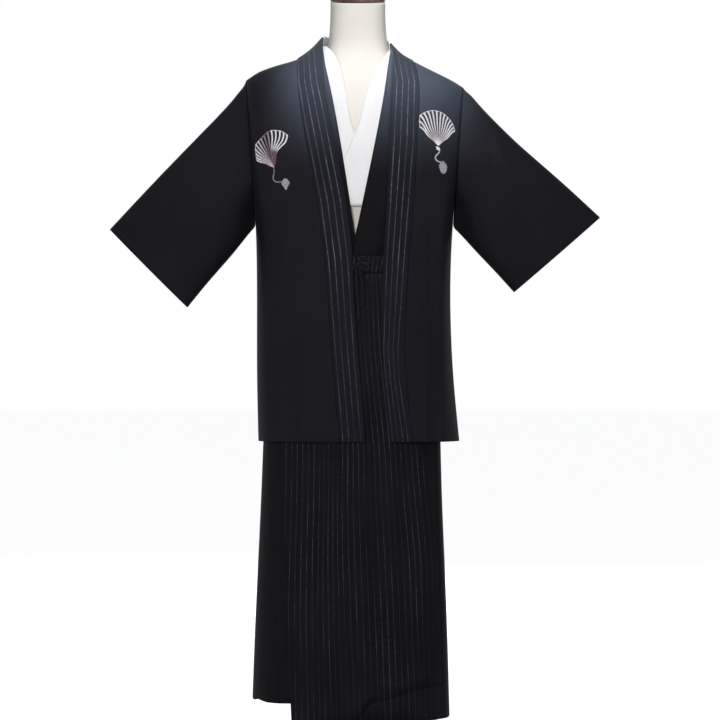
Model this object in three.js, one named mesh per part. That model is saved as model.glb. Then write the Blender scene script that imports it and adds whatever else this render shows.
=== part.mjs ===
// A men's yukata outfit, worn open over a limbless dress form on a round stand.
// Layers from the inside out: form, white inner collar, plain wrap top, gathered pinstripe wrap skirt
// with its tie, and a short jacket with wide sleeves and a pinstripe collar band.
// Millimetres. +Z is up, -Y is the front, and +X is the wearer's left. The origin is on the floor,
// in the middle of the stand's base.
import * as THREE from "three";

// ---------------------------------------------------------------- driving sizes
const CLOTH = 1.6; // thickness of jacket, wrap top and skirt cloth
const COLLAR_CLOTH = 2.2; // the folded collar band
const INNER_CLOTH = 1.4; // the white inner collar
const SEAM = 0.3; // gap between two pieces at a seam
const UNDERARM_Z = 1112; // height where the jacket's side seam ends and its armhole begins
const SIDE_POWER = 2.5; // how square a section round the body is
const SHOULDER_POWER = 3.2; // how square the cloth turns over the shoulder
const ARMHOLE_DEPTH = 54; // half the thickness of the sleeve where it leaves the body
const ARMHOLE_OPENING = 0.4; // how far up the armhole that thickness is reached, as a share
const WAIST_Z = 1043; // top of the skirt's gathered frill
const BASE_RADIUS = 200;
const BASE_HEIGHT = 14;
const POLE_RADIUS = 16;

// ---------------------------------------------------------------- tables
// One row for each height. right and left are the half widths to the wearer's right (-X) and left (+X).
const JACKET_ROWS = [
  { z: 660, right: 203, left: 219, front: 143, back: 141 },
  { z: 797, right: 206, left: 206, front: 136, back: 132 },
  { z: 900, right: 206, left: 201, front: 132, back: 126 },
  { z: 1000, right: 206, left: 200, front: 132, back: 124 },
  { z: 1112, right: 208, left: 205, front: 137, back: 127 },
  { z: 1417, right: 227, left: 227, front: 137, back: 125 },
];
const ROBE_ROWS = [
  { z: 960, right: 138, left: 138, front: 98, back: 92 },
  { z: 1043, right: 141, left: 141, front: 101, back: 94 },
  { z: 1112, right: 176, left: 172, front: 122, back: 112 },
  { z: 1250, right: 196, left: 194, front: 128, back: 117 },
  { z: 1417, right: 212, left: 212, front: 129, back: 117 },
];
const INNER_ROWS = [
  { z: 1112, right: 160, left: 160, front: 114, back: 100 },
  { z: 1250, right: 180, left: 180, front: 120, back: 105 },
  { z: 1417, right: 200, left: 200, front: 121, back: 108 },
];
const SKIRT_ROWS = [
  { z: 60, right: 216, left: 198, front: 158, back: 150 },
  { z: 119, right: 214, left: 196, front: 155, back: 147 },
  { z: 241, right: 210, left: 193, front: 148, back: 140 },
  { z: 409, right: 202, left: 187, front: 139, back: 132 },
  { z: 577, right: 194, left: 179, front: 130, back: 125 },
  { z: 648, right: 191, left: 178, front: 127, back: 121 },
  { z: 800, right: 186, left: 176, front: 121, back: 115 },
  { z: 940, right: 170, left: 166, front: 116, back: 110 },
  { z: 1043, right: 151, left: 150, front: 112, back: 105 },
];
// The shoulder line of the jacket: from beside the neck, down the folded band, to the sleeve seam.
const SHOULDER_RIGHT = [
  { x: 69, z: 1505 },
  { x: 84, z: 1487 },
  { x: 120, z: 1460 },
  { x: 160, z: 1448 },
  { x: 200, z: 1434 },
  { x: 227, z: 1417 },
];
const SHOULDER_LEFT = [
  { x: 76, z: 1492 },
  { x: 97, z: 1469 },
  { x: 114, z: 1460 },
  { x: 155, z: 1439 },
  { x: 200, z: 1417 },
  { x: 227, z: 1401 },
];
// The collar band from the shoulder down each front: x of its free edge and of its seam.
const BAND_RIGHT = [
  { z: 660, edge: 22, seam: -30 },
  { z: 734, edge: 16, seam: -38 },
  { z: 871, edge: 4, seam: -49 },
  { z: 955, edge: -2, seam: -55 },
  { z: 1081, edge: -7, seam: -65 },
  { z: 1156, edge: -18, seam: -78 },
  { z: 1375, edge: -59, seam: -116 },
  { z: 1505, edge: -69, seam: -121 },
];
const BAND_LEFT = [
  { z: 660, edge: 74, seam: 120 },
  { z: 734, edge: 65, seam: 111 },
  { z: 871, edge: 56, seam: 101 },
  { z: 955, edge: 57, seam: 105 },
  { z: 1081, edge: 61, seam: 115 },
  { z: 1156, edge: 66, seam: 121 },
  { z: 1375, edge: 75, seam: 134 },
  { z: 1430, edge: 77, seam: 129 },
  { z: 1492, edge: 77, seam: 115 },
];
// The two fronts of the wrap top: x of the free edge. They cross at the bottom of the V.
const ROBE_RIGHT_EDGE = [
  { z: 960, x: 66 },
  { z: 1061, x: 3 },
  { z: 1112, x: -3.3 },
  { z: 1156, x: -8.8 },
  { z: 1375, x: -47 },
  { z: 1440, x: -62 },
  { z: 1490, x: -69 },
];
const ROBE_LEFT_EDGE = [
  { z: 960, x: -66 },
  { z: 1061, x: -5 },
  { z: 1112, x: 7 },
  { z: 1156, x: 17 },
  { z: 1306, x: 47 },
  { z: 1375, x: 60 },
  { z: 1440, x: 69 },
  { z: 1480, x: 76 },
];
// The white inner collar: x of each side's free edge. They meet in a shallow cross, then hide the chest.
const INNER_RIGHT_EDGE = [
  { z: 1157, x: 60 },
  { z: 1265, x: 12 },
  { z: 1300, x: -6 },
  { z: 1368, x: -16 },
  { z: 1427, x: -28 },
  { z: 1466, x: -42 },
  { z: 1490, x: -65 },
];
const INNER_LEFT_EDGE = [
  { z: 1157, x: -60 },
  { z: 1265, x: -14 },
  { z: 1290, x: 3 },
  { z: 1347, x: 15 },
  { z: 1402, x: 31 },
  { z: 1448, x: 55 },
  { z: 1478, x: 72 },
];
// The sleeve from armhole to cuff: along is 0 to 1, x and z of its top fold and of its under seam, and half
// its thickness. The fold beside the armhole is the dip in the second and third rows.
const SLEEVE_RIGHT = [
  { along: 0, topX: 227, topZ: 1417, underX: 208, underZ: 1112, half: 54 },
  { along: 0.07, topX: 240, topZ: 1394, underX: 216, underZ: 1101, half: 45 },
  { along: 0.16, topX: 268, topZ: 1360, underX: 230, underZ: 1084, half: 47 },
  { along: 0.4, topX: 338, topZ: 1288, underX: 264, underZ: 1042, half: 51 },
  { along: 0.7, topX: 426, topZ: 1197, underX: 309, underZ: 991, half: 44 },
  { along: 1, topX: 514, topZ: 1103, underX: 351, underZ: 939, half: 33 },
];
const SLEEVE_LEFT = [
  { along: 0, topX: 227, topZ: 1401, underX: 205, underZ: 1112, half: 54 },
  { along: 0.07, topX: 241, topZ: 1386, underX: 213, underZ: 1100, half: 46 },
  { along: 0.16, topX: 266, topZ: 1357, underX: 226, underZ: 1087, half: 48 },
  { along: 0.4, topX: 336, topZ: 1287, underX: 257, underZ: 1053, half: 52 },
  { along: 0.7, topX: 426, topZ: 1209, underX: 295, underZ: 1013, half: 45 },
  { along: 1, topX: 514, topZ: 1128, underX: 333, underZ: 971, half: 33 },
];
// Soft vertical folds in the jacket: where they lie, how deep at the hem, how wide, and where they fade out.
const JACKET_FOLDS = [
  { x: 158, depth: -9, width: 20, fade: 1330 },
  { x: 186, depth: 5, width: 14, fade: 1180 },
  { x: 130, depth: 4, width: 16, fade: 1100 },
  { x: -150, depth: -6, width: 26, fade: 1150 },
  { x: -178, depth: 5, width: 18, fade: 1100 },
  { x: -96, depth: 3, width: 22, fade: 980 },
];
const BACK_FOLDS = [
  { x: -140, depth: -7, width: 24, fade: 1330 },
  { x: -100, depth: 5, width: 22, fade: 1200 },
  { x: -35, depth: -4, width: 30, fade: 1050 },
  { x: 48, depth: 4, width: 26, fade: 1080 },
  { x: 112, depth: -6, width: 24, fade: 1250 },
  { x: 160, depth: 5, width: 20, fade: 1200 },
];
// The dress form from its flat bottom to its slanted neck top.
const FORM_ROWS = [
  { z: 745, wide: 136, deep: 92, middle: 2 },
  { z: 790, wide: 144, deep: 97, middle: 2 },
  { z: 880, wide: 142, deep: 94, middle: 2 },
  { z: 980, wide: 128, deep: 84, middle: 3 },
  { z: 1060, wide: 126, deep: 84, middle: 3 },
  { z: 1180, wide: 150, deep: 100, middle: 0 },
  { z: 1290, wide: 168, deep: 106, middle: 0 },
  { z: 1360, wide: 180, deep: 99, middle: 0 },
  { z: 1395, wide: 168, deep: 89, middle: 2 },
  { z: 1420, wide: 132, deep: 77, middle: 5 },
  { z: 1445, wide: 91, deep: 66, middle: 10 },
  { z: 1472, wide: 68, deep: 57, middle: 11 },
  { z: 1505, wide: 61, deep: 54, middle: 10 },
  { z: 1550, wide: 58, deep: 56, middle: 4 },
  { z: 1581, wide: 58, deep: 58, middle: 2 },
];

// ---------------------------------------------------------------- small helpers
const clamp = THREE.MathUtils.clamp;
const lerp = THREE.MathUtils.lerp;
const superellipse = (t, power) =>
  Math.pow(Math.max(0, 1 - Math.pow(clamp(t, 0, 1), power)), 1 / power);
const ease = (t) => THREE.MathUtils.smootherstep(t, 0, 1);

// Reads one column of a table at a height (or at another key), with a smooth curve through its rows.
function column(rows, name, at, key = "z") {
  if (at <= rows[0][key]) return rows[0][name];
  const last = rows.length - 1;
  if (at >= rows[last][key]) return rows[last][name];
  let i = 0;
  while (rows[i + 1][key] < at) i += 1;
  const [a, b] = [rows[i], rows[i + 1]];
  const before = rows[Math.max(i - 1, 0)];
  const after = rows[Math.min(i + 2, last)];
  const span = b[key] - a[key];
  const slope = (p, q) => (q[key] === p[key] ? 0 : ((q[name] - p[name]) / (q[key] - p[key])) * span);
  const t = (at - a[key]) / span;
  const [m0, m1] = [slope(before, b), slope(a, after)];
  return (
    (2 * t ** 3 - 3 * t ** 2 + 1) * a[name] +
    (t ** 3 - 2 * t ** 2 + t) * m0 +
    (3 * t ** 2 - 2 * t ** 3) * b[name] +
    (t ** 3 - t ** 2) * m1
  );
}

// A closed wall from a grid of outer points. The inner face lies one thickness behind, on the side that
// `inward` says: 1 or -1 along the grid's own normal. `ring` joins the last column to the first, and its
// first row then keeps its own x, so that the seam there stays open by the same gap inside and outside.
function wall(grid, thickness, inward = 1, ring = false) {
  const [rows, cols] = [grid.length, grid[0].length];
  const at = (i, j) => grid[clamp(i, 0, rows - 1)][ring ? (j + cols) % cols : clamp(j, 0, cols - 1)];
  const inner = grid.map((row, i) =>
    row.map((p, j) => {
      const across = at(i, j + 1).clone().sub(at(i, j - 1));
      const down = at(i + 1, j).clone().sub(at(i - 1, j));
      const normal = across.cross(down);
      if (ring && i === 0) normal.x = 0;
      return p.clone().addScaledVector(normal.normalize(), thickness * inward);
    }),
  );
  const positions = [...grid.flat(), ...inner.flat()].flatMap((p) => p.toArray());
  const index = [];
  const outerAt = (i, j) => i * cols + ((j + cols) % cols);
  const innerAt = (i, j) => rows * cols + outerAt(i, j);
  const quad = (a, b, c, d) => index.push(a, b, c, a, c, d);
  const lastCol = ring ? cols : cols - 1;
  for (let i = 0; i < rows - 1; i += 1)
    for (let j = 0; j < lastCol; j += 1) {
      quad(outerAt(i, j), outerAt(i + 1, j), outerAt(i + 1, j + 1), outerAt(i, j + 1));
      quad(innerAt(i, j), innerAt(i, j + 1), innerAt(i + 1, j + 1), innerAt(i + 1, j));
    }
  for (let j = 0; j < lastCol; j += 1) {
    quad(outerAt(0, j), outerAt(0, j + 1), innerAt(0, j + 1), innerAt(0, j));
    quad(outerAt(rows - 1, j), innerAt(rows - 1, j), innerAt(rows - 1, j + 1), outerAt(rows - 1, j + 1));
  }
  if (!ring)
    for (let i = 0; i < rows - 1; i += 1) {
      quad(outerAt(i, 0), innerAt(i, 0), innerAt(i + 1, 0), outerAt(i + 1, 0));
      quad(outerAt(i, cols - 1), outerAt(i + 1, cols - 1), innerAt(i + 1, cols - 1), innerAt(i, cols - 1));
    }
  return facingOut(positions, index);
}

// Turns every triangle round if the solid came out inside out.
function facingOut(positions, index) {
  const p = (i) => new THREE.Vector3().fromArray(positions, 3 * i);
  let volume = 0;
  for (let i = 0; i < index.length; i += 3)
    volume += p(index[i]).dot(p(index[i + 1]).cross(p(index[i + 2])));
  if (volume < 0)
    for (let i = 0; i < index.length; i += 3) [index[i + 1], index[i + 2]] = [index[i + 2], index[i + 1]];
  const geometry = new THREE.BufferGeometry();
  geometry.setAttribute("position", new THREE.Float32BufferAttribute(positions, 3));
  geometry.setIndex(index);
  geometry.computeVertexNormals();
  return geometry;
}

const steps = (count) => Array.from({ length: count + 1 }, (_, i) => i / count);

// ---------------------------------------------------------------- cloth round the body
// The shape of one layer: how far in front of or behind the body's middle its cloth hangs at x and z.
// `under` is how far the layer's shoulder lies beneath the jacket's.
function layer(rows, under, folds = []) {
  const shoulderZ = (x) => {
    const side = x < 0 ? SHOULDER_RIGHT : SHOULDER_LEFT;
    const [right, left] = [SHOULDER_RIGHT[0], SHOULDER_LEFT[0]];
    const overNeck = lerp(right.z, left.z, clamp((x + right.x) / (right.x + left.x), 0, 1));
    return (Math.abs(x) < side[0].x ? overNeck : column(side, "z", Math.abs(x), "x")) - under;
  };
  const halfWidth = (x, z) => column(rows, x < 0 ? "right" : "left", z);
  const fold = (x, z) =>
    folds.reduce((sum, f) => {
      const fade = ease(clamp((f.fade - z) / (f.fade - rows[0].z), 0, 1));
      return sum + f.depth * fade * Math.exp(-(((x - f.x) / f.width) ** 2));
    }, 0);
  const depth = (x, z, face) => {
    const level = clamp((z - UNDERARM_Z) / (shoulderZ(x) - UNDERARM_Z), 0, 1);
    const edge = ARMHOLE_DEPTH * ease(clamp(level / ARMHOLE_OPENING, 0, 1));
    const share = Math.min(1, Math.abs(x) / halfWidth(x, z));
    const full = column(rows, face < 0 ? "front" : "back", z) + fold(x, z);
    return superellipse(level, SHOULDER_POWER) * (edge + (full - edge) * superellipse(share, SIDE_POWER));
  };
  const point = (x, z, face) => new THREE.Vector3(x, face * depth(x, z, face), z);
  return { shoulderZ, halfWidth, depth, point };
}

// Heights for the rows of a panel: even below the underarm, and closer together over the shoulder.
// A height is given as a share: below 0 it is under the underarm, and 1 is the shoulder line.
function shares(bottomZ, below, above) {
  const low = steps(below).map((t) => (t - 1) * (UNDERARM_Z - bottomZ));
  const high = steps(above)
    .slice(1)
    .map((t) => Math.pow(Math.sin((t * Math.PI) / 2), 2 / SHOULDER_POWER));
  return [...low.map((drop) => ({ drop })), ...high.map((share) => ({ share }))];
}
const heightAt = (cloth, row, x) =>
  row.share === undefined
    ? UNDERARM_Z + row.drop
    : UNDERARM_Z + row.share * (cloth.shoulderZ(x) - UNDERARM_Z);

// A panel between two edges, each a function that gives x at a height. `across` lists its columns as shares
// of the angle round the section, so that they gather where the cloth turns at the side.
function panel(cloth, face, rows, across, edgeA, edgeB) {
  const angleOf = (x, z) => {
    const share = clamp(Math.abs(x) / cloth.halfWidth(x, z), 0, 1);
    return Math.acos(Math.sign(x) * Math.pow(share, SIDE_POWER / 2));
  };
  return rows.map((row) => {
    const ends = [edgeA, edgeB].map((edge) => {
      let z = UNDERARM_Z;
      for (let k = 0; k < 6; k += 1) z = heightAt(cloth, row, edge(z));
      return { x: edge(z), z };
    });
    const [from, to] = ends.map((e) => angleOf(e.x, e.z));
    return across.map((t) => {
      const cosine = Math.cos(lerp(from, to, t));
      const share = Math.sign(cosine) * Math.pow(Math.abs(cosine), 2 / SIDE_POWER);
      let x = lerp(ends[0].x, ends[1].x, t);
      for (let k = 0; k < 4; k += 1) x = share * cloth.halfWidth(share, heightAt(cloth, row, x));
      if (t === 0) x = ends[0].x;
      if (t === 1) x = ends[1].x;
      return cloth.point(x, heightAt(cloth, row, x), face);
    });
  });
}

// ---------------------------------------------------------------- the jacket
const jacket = layer(JACKET_ROWS, 0, JACKET_FOLDS);
const jacketBack = layer(JACKET_ROWS, 0, BACK_FOLDS);
const jacketShares = shares(660, 6, 9);

function jacketFront(side) {
  const band = side < 0 ? BAND_RIGHT : BAND_LEFT;
  const seam = (z) => column(band, "seam", z) + side * 2 * SEAM;
  const flank = (z) => side * jacket.halfWidth(side, z);
  return liftFromMiddle(panel(jacket, -1, jacketShares, steps(12), seam, flank), -SEAM);
}

// Moves a whole piece forwards or back a little, so that front and back part at the side seam.
function liftFromMiddle(grid, y) {
  return grid.map((row) => row.map((p) => new THREE.Vector3(p.x, p.y + y, p.z)));
}

function bandFront(side) {
  const band = side < 0 ? BAND_RIGHT : BAND_LEFT;
  const edge = (z) => column(band, "edge", z);
  const seam = (z) => column(band, "seam", z);
  return liftFromMiddle(panel(jacket, -1, jacketShares, steps(3), edge, seam), -SEAM);
}

const NECKLINE_HALF = { right: 121, left: 122 }; // the neckline seam on the shoulder line
const NECKLINE_DROP = 16; // how far the neckline dips behind the neck
// The top of the back: the shoulder line, and a shallow dip between the two ends of the neckline.
const backTopZ = (x) => {
  const { right, left } = NECKLINE_HALF;
  if (x <= -right || x >= left) return jacketBack.shoulderZ(x);
  const level = lerp(jacketBack.shoulderZ(-right), jacketBack.shoulderZ(left), (x + right) / (right + left));
  return level - NECKLINE_DROP * (1 - (x / (x < 0 ? right : left)) ** 2);
};

// Columns of the back: even at its two sides, and close together just inside each end of the neckline,
// where the neckline turns sharply.
const NECK_COLUMNS = [0, 0.045, 0.14, 0.3, 0.53, 0.76]; // from an end of the neckline towards the middle
function backColumns() {
  const wide = JACKET_ROWS[JACKET_ROWS.length - 1];
  const half = (side) => {
    const end = Math.acos(Math.pow(NECKLINE_HALF[side] / wide[side], SIDE_POWER / 2)) / Math.PI;
    return [...steps(6).slice(0, -1).map((t) => t * end), ...NECK_COLUMNS.map((t) => lerp(end, 0.5, t))];
  };
  return [...half("right"), 0.5, ...half("left").map((t) => 1 - t).reverse()];
}

function jacketBackPanel() {
  const grid = panel(
    jacketBack,
    1,
    jacketShares,
    backColumns(),
    (z) => -jacket.halfWidth(-1, z),
    (z) => jacket.halfWidth(1, z),
  );
  const top = jacketShares.length - 1;
  const firstHigh = jacketShares.findIndex((row) => row.share !== undefined);
  // Rows over the shoulder are squeezed under the neckline's dip.
  for (let i = firstHigh; i <= top; i += 1)
    grid[i] = grid[i].map((p) =>
      jacketBack.point(p.x, lerp(UNDERARM_Z, backTopZ(p.x), jacketShares[i].share), 1),
    );
  return liftFromMiddle(grid, SEAM);
}

// The band behind the neck: from one shoulder line round to the other, standing up from the neckline seam.
const BAND_BACK_DEPTH = 88; // how far behind the middle its free edge stands
const BAND_BACK_LIFT = 2.6; // its two edges end this far above the fronts
const BAND_BACK_RISE = 6; // its free edge rises towards the nape
const BAND_BACK_BULGE = 4; // its middle line rounds outwards
function bandBack() {
  const top = jacketBackPanel()[jacketShares.length - 1];
  const seam = top
    .filter((p) => p.x > -NECKLINE_HALF.right - SEAM && p.x < NECKLINE_HALF.left + SEAM)
    .map((p) => p.clone().add(new THREE.Vector3(0, 0, BAND_BACK_LIFT)));
  const angles = seam.map((p) => {
    const half = p.x < 0 ? NECKLINE_HALF.right : NECKLINE_HALF.left;
    return Math.acos(clamp(p.x / half, -1, 1));
  });
  const edge = angles.map((angle) => {
    const side = Math.cos(angle) < 0 ? SHOULDER_RIGHT : SHOULDER_LEFT;
    const lift = BAND_BACK_LIFT + BAND_BACK_RISE * Math.sin(angle);
    const z = lerp(SHOULDER_RIGHT[0].z, SHOULDER_LEFT[0].z, 1 - angle / Math.PI) + lift;
    return new THREE.Vector3(side[0].x * Math.cos(angle), 2 * SEAM + BAND_BACK_DEPTH * Math.sin(angle), z);
  });
  return steps(3).map((t) =>
    angles.map((angle, j) => {
      const p = seam[j].clone().lerp(edge[j], t);
      const onShoulder = jacketBack.shoulderZ(p.x) + BAND_BACK_LIFT;
      p.z = lerp(p.z, onShoulder, Math.cos(angle) ** 8);
      p.z += BAND_BACK_BULGE * Math.sin(Math.PI * t) * Math.sin(angle);
      return p;
    }),
  );
}

// A sleeve is a flattened tube. Its first ring is the armhole's own edge, moved out by the seam's gap.
const ROOT_END = 0.07; // how far along the sleeve follows the armhole's edge
const ROOT_BLEND = 0.3; // how far along the armhole's thickness passes into the sleeve's own
const SLEEVE_ROUND = 0.55; // how full the sleeve's section is: 1 is a thin lens, and 0.5 is round
const SLEEVE_LEAST = 1.4; // half the thickness of its fold and seam
function sleeve(side) {
  const table = side < 0 ? SLEEVE_RIGHT : SLEEVE_LEFT;
  const around = 24;
  const alongs = [0, 0.035, 0.07, 0.115, 0.16, 0.26, 0.4, 0.55, 0.7, 0.85, 1];
  const read = (name, along) => column(table, name, along, "along");
  return alongs.map((along) =>
    Array.from({ length: around }, (_, j) => {
      const turn = (2 * Math.PI * (j + 0.5)) / around;
      const t = (1 - Math.cos(turn)) / 2; // 0 at the under seam and 1 at the top fold
      const face = Math.sin(turn) > 0 ? -1 : 1;
      const topX = read("topX", along);
      const topZ = read("topZ", along);
      const z = lerp(read("underZ", along), topZ, t);
      const armhole = jacket.halfWidth(side, Math.max(z, UNDERARM_Z));
      const hang = lerp(read("underX", along), topX, t);
      const x = side * (lerp(armhole, hang, clamp(along / ROOT_END, 0, 1)) + 3 * SEAM);
      const rootZ = lerp(table[0].underZ, table[0].topZ, t);
      const root = jacket.depth(side * jacket.halfWidth(side, rootZ), rootZ, face);
      const lens = read("half", along) * Math.pow(Math.sin(Math.PI * t), SLEEVE_ROUND);
      const y = lerp(root, lens, lerp(ease(clamp(along / ROOT_BLEND, 0, 1)), 1, along));
      return new THREE.Vector3(x, face * Math.max(y, SLEEVE_LEAST), z);
    }),
  );
}

// ---------------------------------------------------------------- wrap top and inner collar
const robe = layer(ROBE_ROWS, 8);
const robeUnder = layer(
  ROBE_ROWS.map((row) => ({ ...row, right: row.right - 4, left: row.left - 4, front: row.front - 4 })),
  12,
);
const robeShares = shares(960, 3, 7);
const ROBE_NECK_SHARE = 0.975; // the wrap top's fronts end just under the jacket's collar band
const ROBE_BACK_SHARE = 0.86; // its back is cut lower, where the neck's curve begins

function cutTop(rows, share) {
  return rows.map((row) => (row.share === undefined ? row : { share: row.share * share }));
}

function robeFront(side) {
  const cloth = side < 0 ? robeUnder : robe;
  const edge = side < 0 ? ROBE_RIGHT_EDGE : ROBE_LEFT_EDGE;
  const grid = panel(
    cloth,
    -1,
    cutTop(robeShares, ROBE_NECK_SHARE),
    steps(8),
    (z) => column(edge, "x", z),
    (z) => side * cloth.halfWidth(side, z),
  );
  return liftFromMiddle(grid, -SEAM);
}

function robeBack() {
  const grid = panel(
    robe,
    1,
    cutTop(robeShares, ROBE_BACK_SHARE),
    steps(12),
    (z) => -robe.halfWidth(-1, z),
    (z) => robe.halfWidth(1, z),
  );
  return liftFromMiddle(grid, SEAM);
}

const inner = layer(INNER_ROWS, 15);
const innerUnder = layer(
  INNER_ROWS.map((row) => ({ ...row, front: row.front - 3 })),
  18,
);

const INNER_HEM_Z = 1148;
const INNER_HEM_SHARE = 0.094; // its straight hem, as a share of the way up to the shoulder
const INNER_TOP_SHARE = 0.998;
const INNER_LENGTH = 300; // from its hem up to where its hidden edge is widest
const INNER_WIDTH = { low: 84, high: 92 }; // its hidden outer edge, at the hem and beside the neck
function innerFront(side) {
  const cloth = side < 0 ? innerUnder : inner;
  const edge = side < 0 ? INNER_RIGHT_EDGE : INNER_LEFT_EDGE;
  const up = (z) => clamp((z - INNER_HEM_Z) / INNER_LENGTH, 0, 1);
  const outer = (z) => side * lerp(INNER_WIDTH.low, INNER_WIDTH.high, up(z));
  const rows = steps(9).map((t) => ({
    share: lerp(INNER_HEM_SHARE, INNER_TOP_SHARE, Math.sin((t * Math.PI) / 2)),
  }));
  return panel(cloth, -1, rows, steps(4), (z) => column(edge, "x", z), outer);
}

// The white collar stands round the back of the neck, just inside the jacket's band. One row for its lower
// edge and one for its upper edge: how far it reaches to each side and behind, and its height at the right.
const INNER_BACK_ROWS = [
  { right: 68, left: 75, back: 66, z: 1491 },
  { right: 65, left: 72, back: 63, z: 1511 },
];
const INNER_BACK_MIDDLE = 10; // its middle lies this far behind the body's middle
const INNER_BACK_RISE = 3; // it rises at the nape
const INNER_BACK_SLOPE = 11; // and is lower at the wearer's left, as the jacket's band is
const INNER_BACK_OVER = 0.04; // how far past a half turn it reaches at each end, as a share
function innerBack() {
  const halfTurn = steps(14);
  return INNER_BACK_ROWS.map((row) =>
    halfTurn.map((t) => {
      const angle = Math.PI * lerp(1 + INNER_BACK_OVER, -INNER_BACK_OVER, t);
      const rise = INNER_BACK_RISE * Math.sin(clamp(angle, 0, Math.PI));
      return new THREE.Vector3(
        Math.cos(angle) * (t < 0.5 ? row.right : row.left),
        INNER_BACK_MIDDLE + row.back * Math.sin(angle),
        row.z - INNER_BACK_SLOPE * t + rise,
      );
    }),
  );
}

// ---------------------------------------------------------------- skirt
const GATHERS = 46; // small gathers in the drawn waist
const FRONT_END_ANGLE = 0.44; // where the front wrap ends at the wearer's left, in radians from the side
const UNDERLAP_ANGLE = 0.17; // how far the back passes under the front wrap at each edge
const UNDERLAP_DROP = 11; // how far beneath the front wrap it lies there
const FRONT_EDGE = [
  { z: 60, x: -129 },
  { z: 199, x: -136 },
  { z: 409, x: -143 },
  { z: 577, x: -150 },
  { z: 800, x: -146 },
  { z: 1043, x: -120 },
];
// The hem of the outer wrap, from its free edge across to the wearer's left, and of the lap beneath it.
const HEM_ROWS = [
  { x: -140, z: 66 },
  { x: -60, z: 76 },
  { x: 0, z: 98 },
  { x: 28, z: 124 },
  { x: 90, z: 142 },
  { x: 141, z: 156 },
  { x: 200, z: 160 },
];
const LAP_HEM_Z = 85;
const LAP_ANGLES = { right: 2.15, left: 0.52 };
const LAP_DROP = 5; // how far the lap lies beneath the outer wrap
// The plain back's hem, by the angle round the body: high at the wearer's right front, low at the left.
const BACK_HEM = [
  { angle: 2.6, z: 122 },
  { angle: 2.75, z: 127 },
  { angle: 2.9, z: 121 },
  { angle: 3.1, z: 124 },
  { angle: 4.7, z: 104 },
  { angle: 6.6, z: 84 },
];
const GATHER_RIDGES = 36; // soft ridges that run a little way down from the gathers
const GATHER_RIDGE_HEIGHT = 1.5;
const GATHER_RIDGE_LENGTH = 170;
const FOLD_FALL = 300; // the long folds reach their full depth this far below the waist
const HEM_LEVEL = 150; // hems are read at this height
const UNDERLAP_EASE = 0.2; // the underlap drops beneath the front wrap over this angle
// Long soft folds that fall from the gathers: where, how deep, how wide.
const SKIRT_FOLDS = [
  { x: -112, depth: 4, width: 13 },
  { x: -84, depth: -5, width: 13 },
  { x: -48, depth: 4, width: 12 },
  { x: -18, depth: -4, width: 12 },
  { x: 12, depth: 5, width: 12 },
  { x: 44, depth: -4, width: 12 },
  { x: 74, depth: 5, width: 13 },
  { x: 106, depth: -4, width: 14 },
  { x: 140, depth: 4, width: 14 },
];

// A point of the skirt at an angle round the body: 0 is the wearer's left side seam, a quarter turn is the
// front, a half turn the right side seam. `out` moves it off the skirt's own surface.
function skirtPoint(angle, z, out) {
  const [cosine, sine] = [Math.cos(angle), Math.sin(angle)];
  const round = 2 / SIDE_POWER;
  const wide = column(SKIRT_ROWS, cosine < 0 ? "right" : "left", z) + out;
  const deep = column(SKIRT_ROWS, sine > 0 ? "front" : "back", z) + out;
  const x = Math.sign(cosine) * Math.pow(Math.abs(cosine), round) * wide;
  const fall = clamp((WAIST_Z - z) / FOLD_FALL, 0, 1);
  const folds = SKIRT_FOLDS.reduce(
    (sum, f) => sum + f.depth * Math.exp(-(((x - f.x * (sine > 0 ? 1 : -1)) / f.width) ** 2)),
    0,
  );
  const ridgeFade = 1 - ease(clamp((WAIST_Z - z) / GATHER_RIDGE_LENGTH, 0, 1));
  const ridges = GATHER_RIDGE_HEIGHT * ridgeFade * Math.cos(angle * GATHER_RIDGES);
  const relief = Math.abs(sine) * (folds * ease(fall) + ridges);
  const y = Math.sign(sine) * (Math.pow(Math.abs(sine), round) * deep + relief);
  return new THREE.Vector3(x, -y, z);
}

const SKIRT_TOP_Z = WAIST_Z - 34; // where the skirt is sewn to its casing
function skirtWrap(fromAngle, toAngle, columns, rowCount, hemZ, outAt) {
  const hems = steps(columns).map((t) => hemZ(lerp(fromAngle(HEM_LEVEL), toAngle(HEM_LEVEL), t)));
  return steps(rowCount).map((up) =>
    steps(columns).map((t, j) => {
      const z = lerp(hems[j], SKIRT_TOP_Z, up);
      const angle = lerp(fromAngle(z), toAngle(z), t);
      return skirtPoint(angle, z, outAt(angle, z));
    }),
  );
}
const angleOfX = (x, z) => {
  const wide = column(SKIRT_ROWS, x < 0 ? "right" : "left", z);
  return Math.acos(Math.sign(x) * Math.pow(clamp(Math.abs(x) / wide, 0, 1), SIDE_POWER / 2));
};
const xOfAngle = (angle) => skirtPoint(angle, HEM_LEVEL, 0).x;

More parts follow.
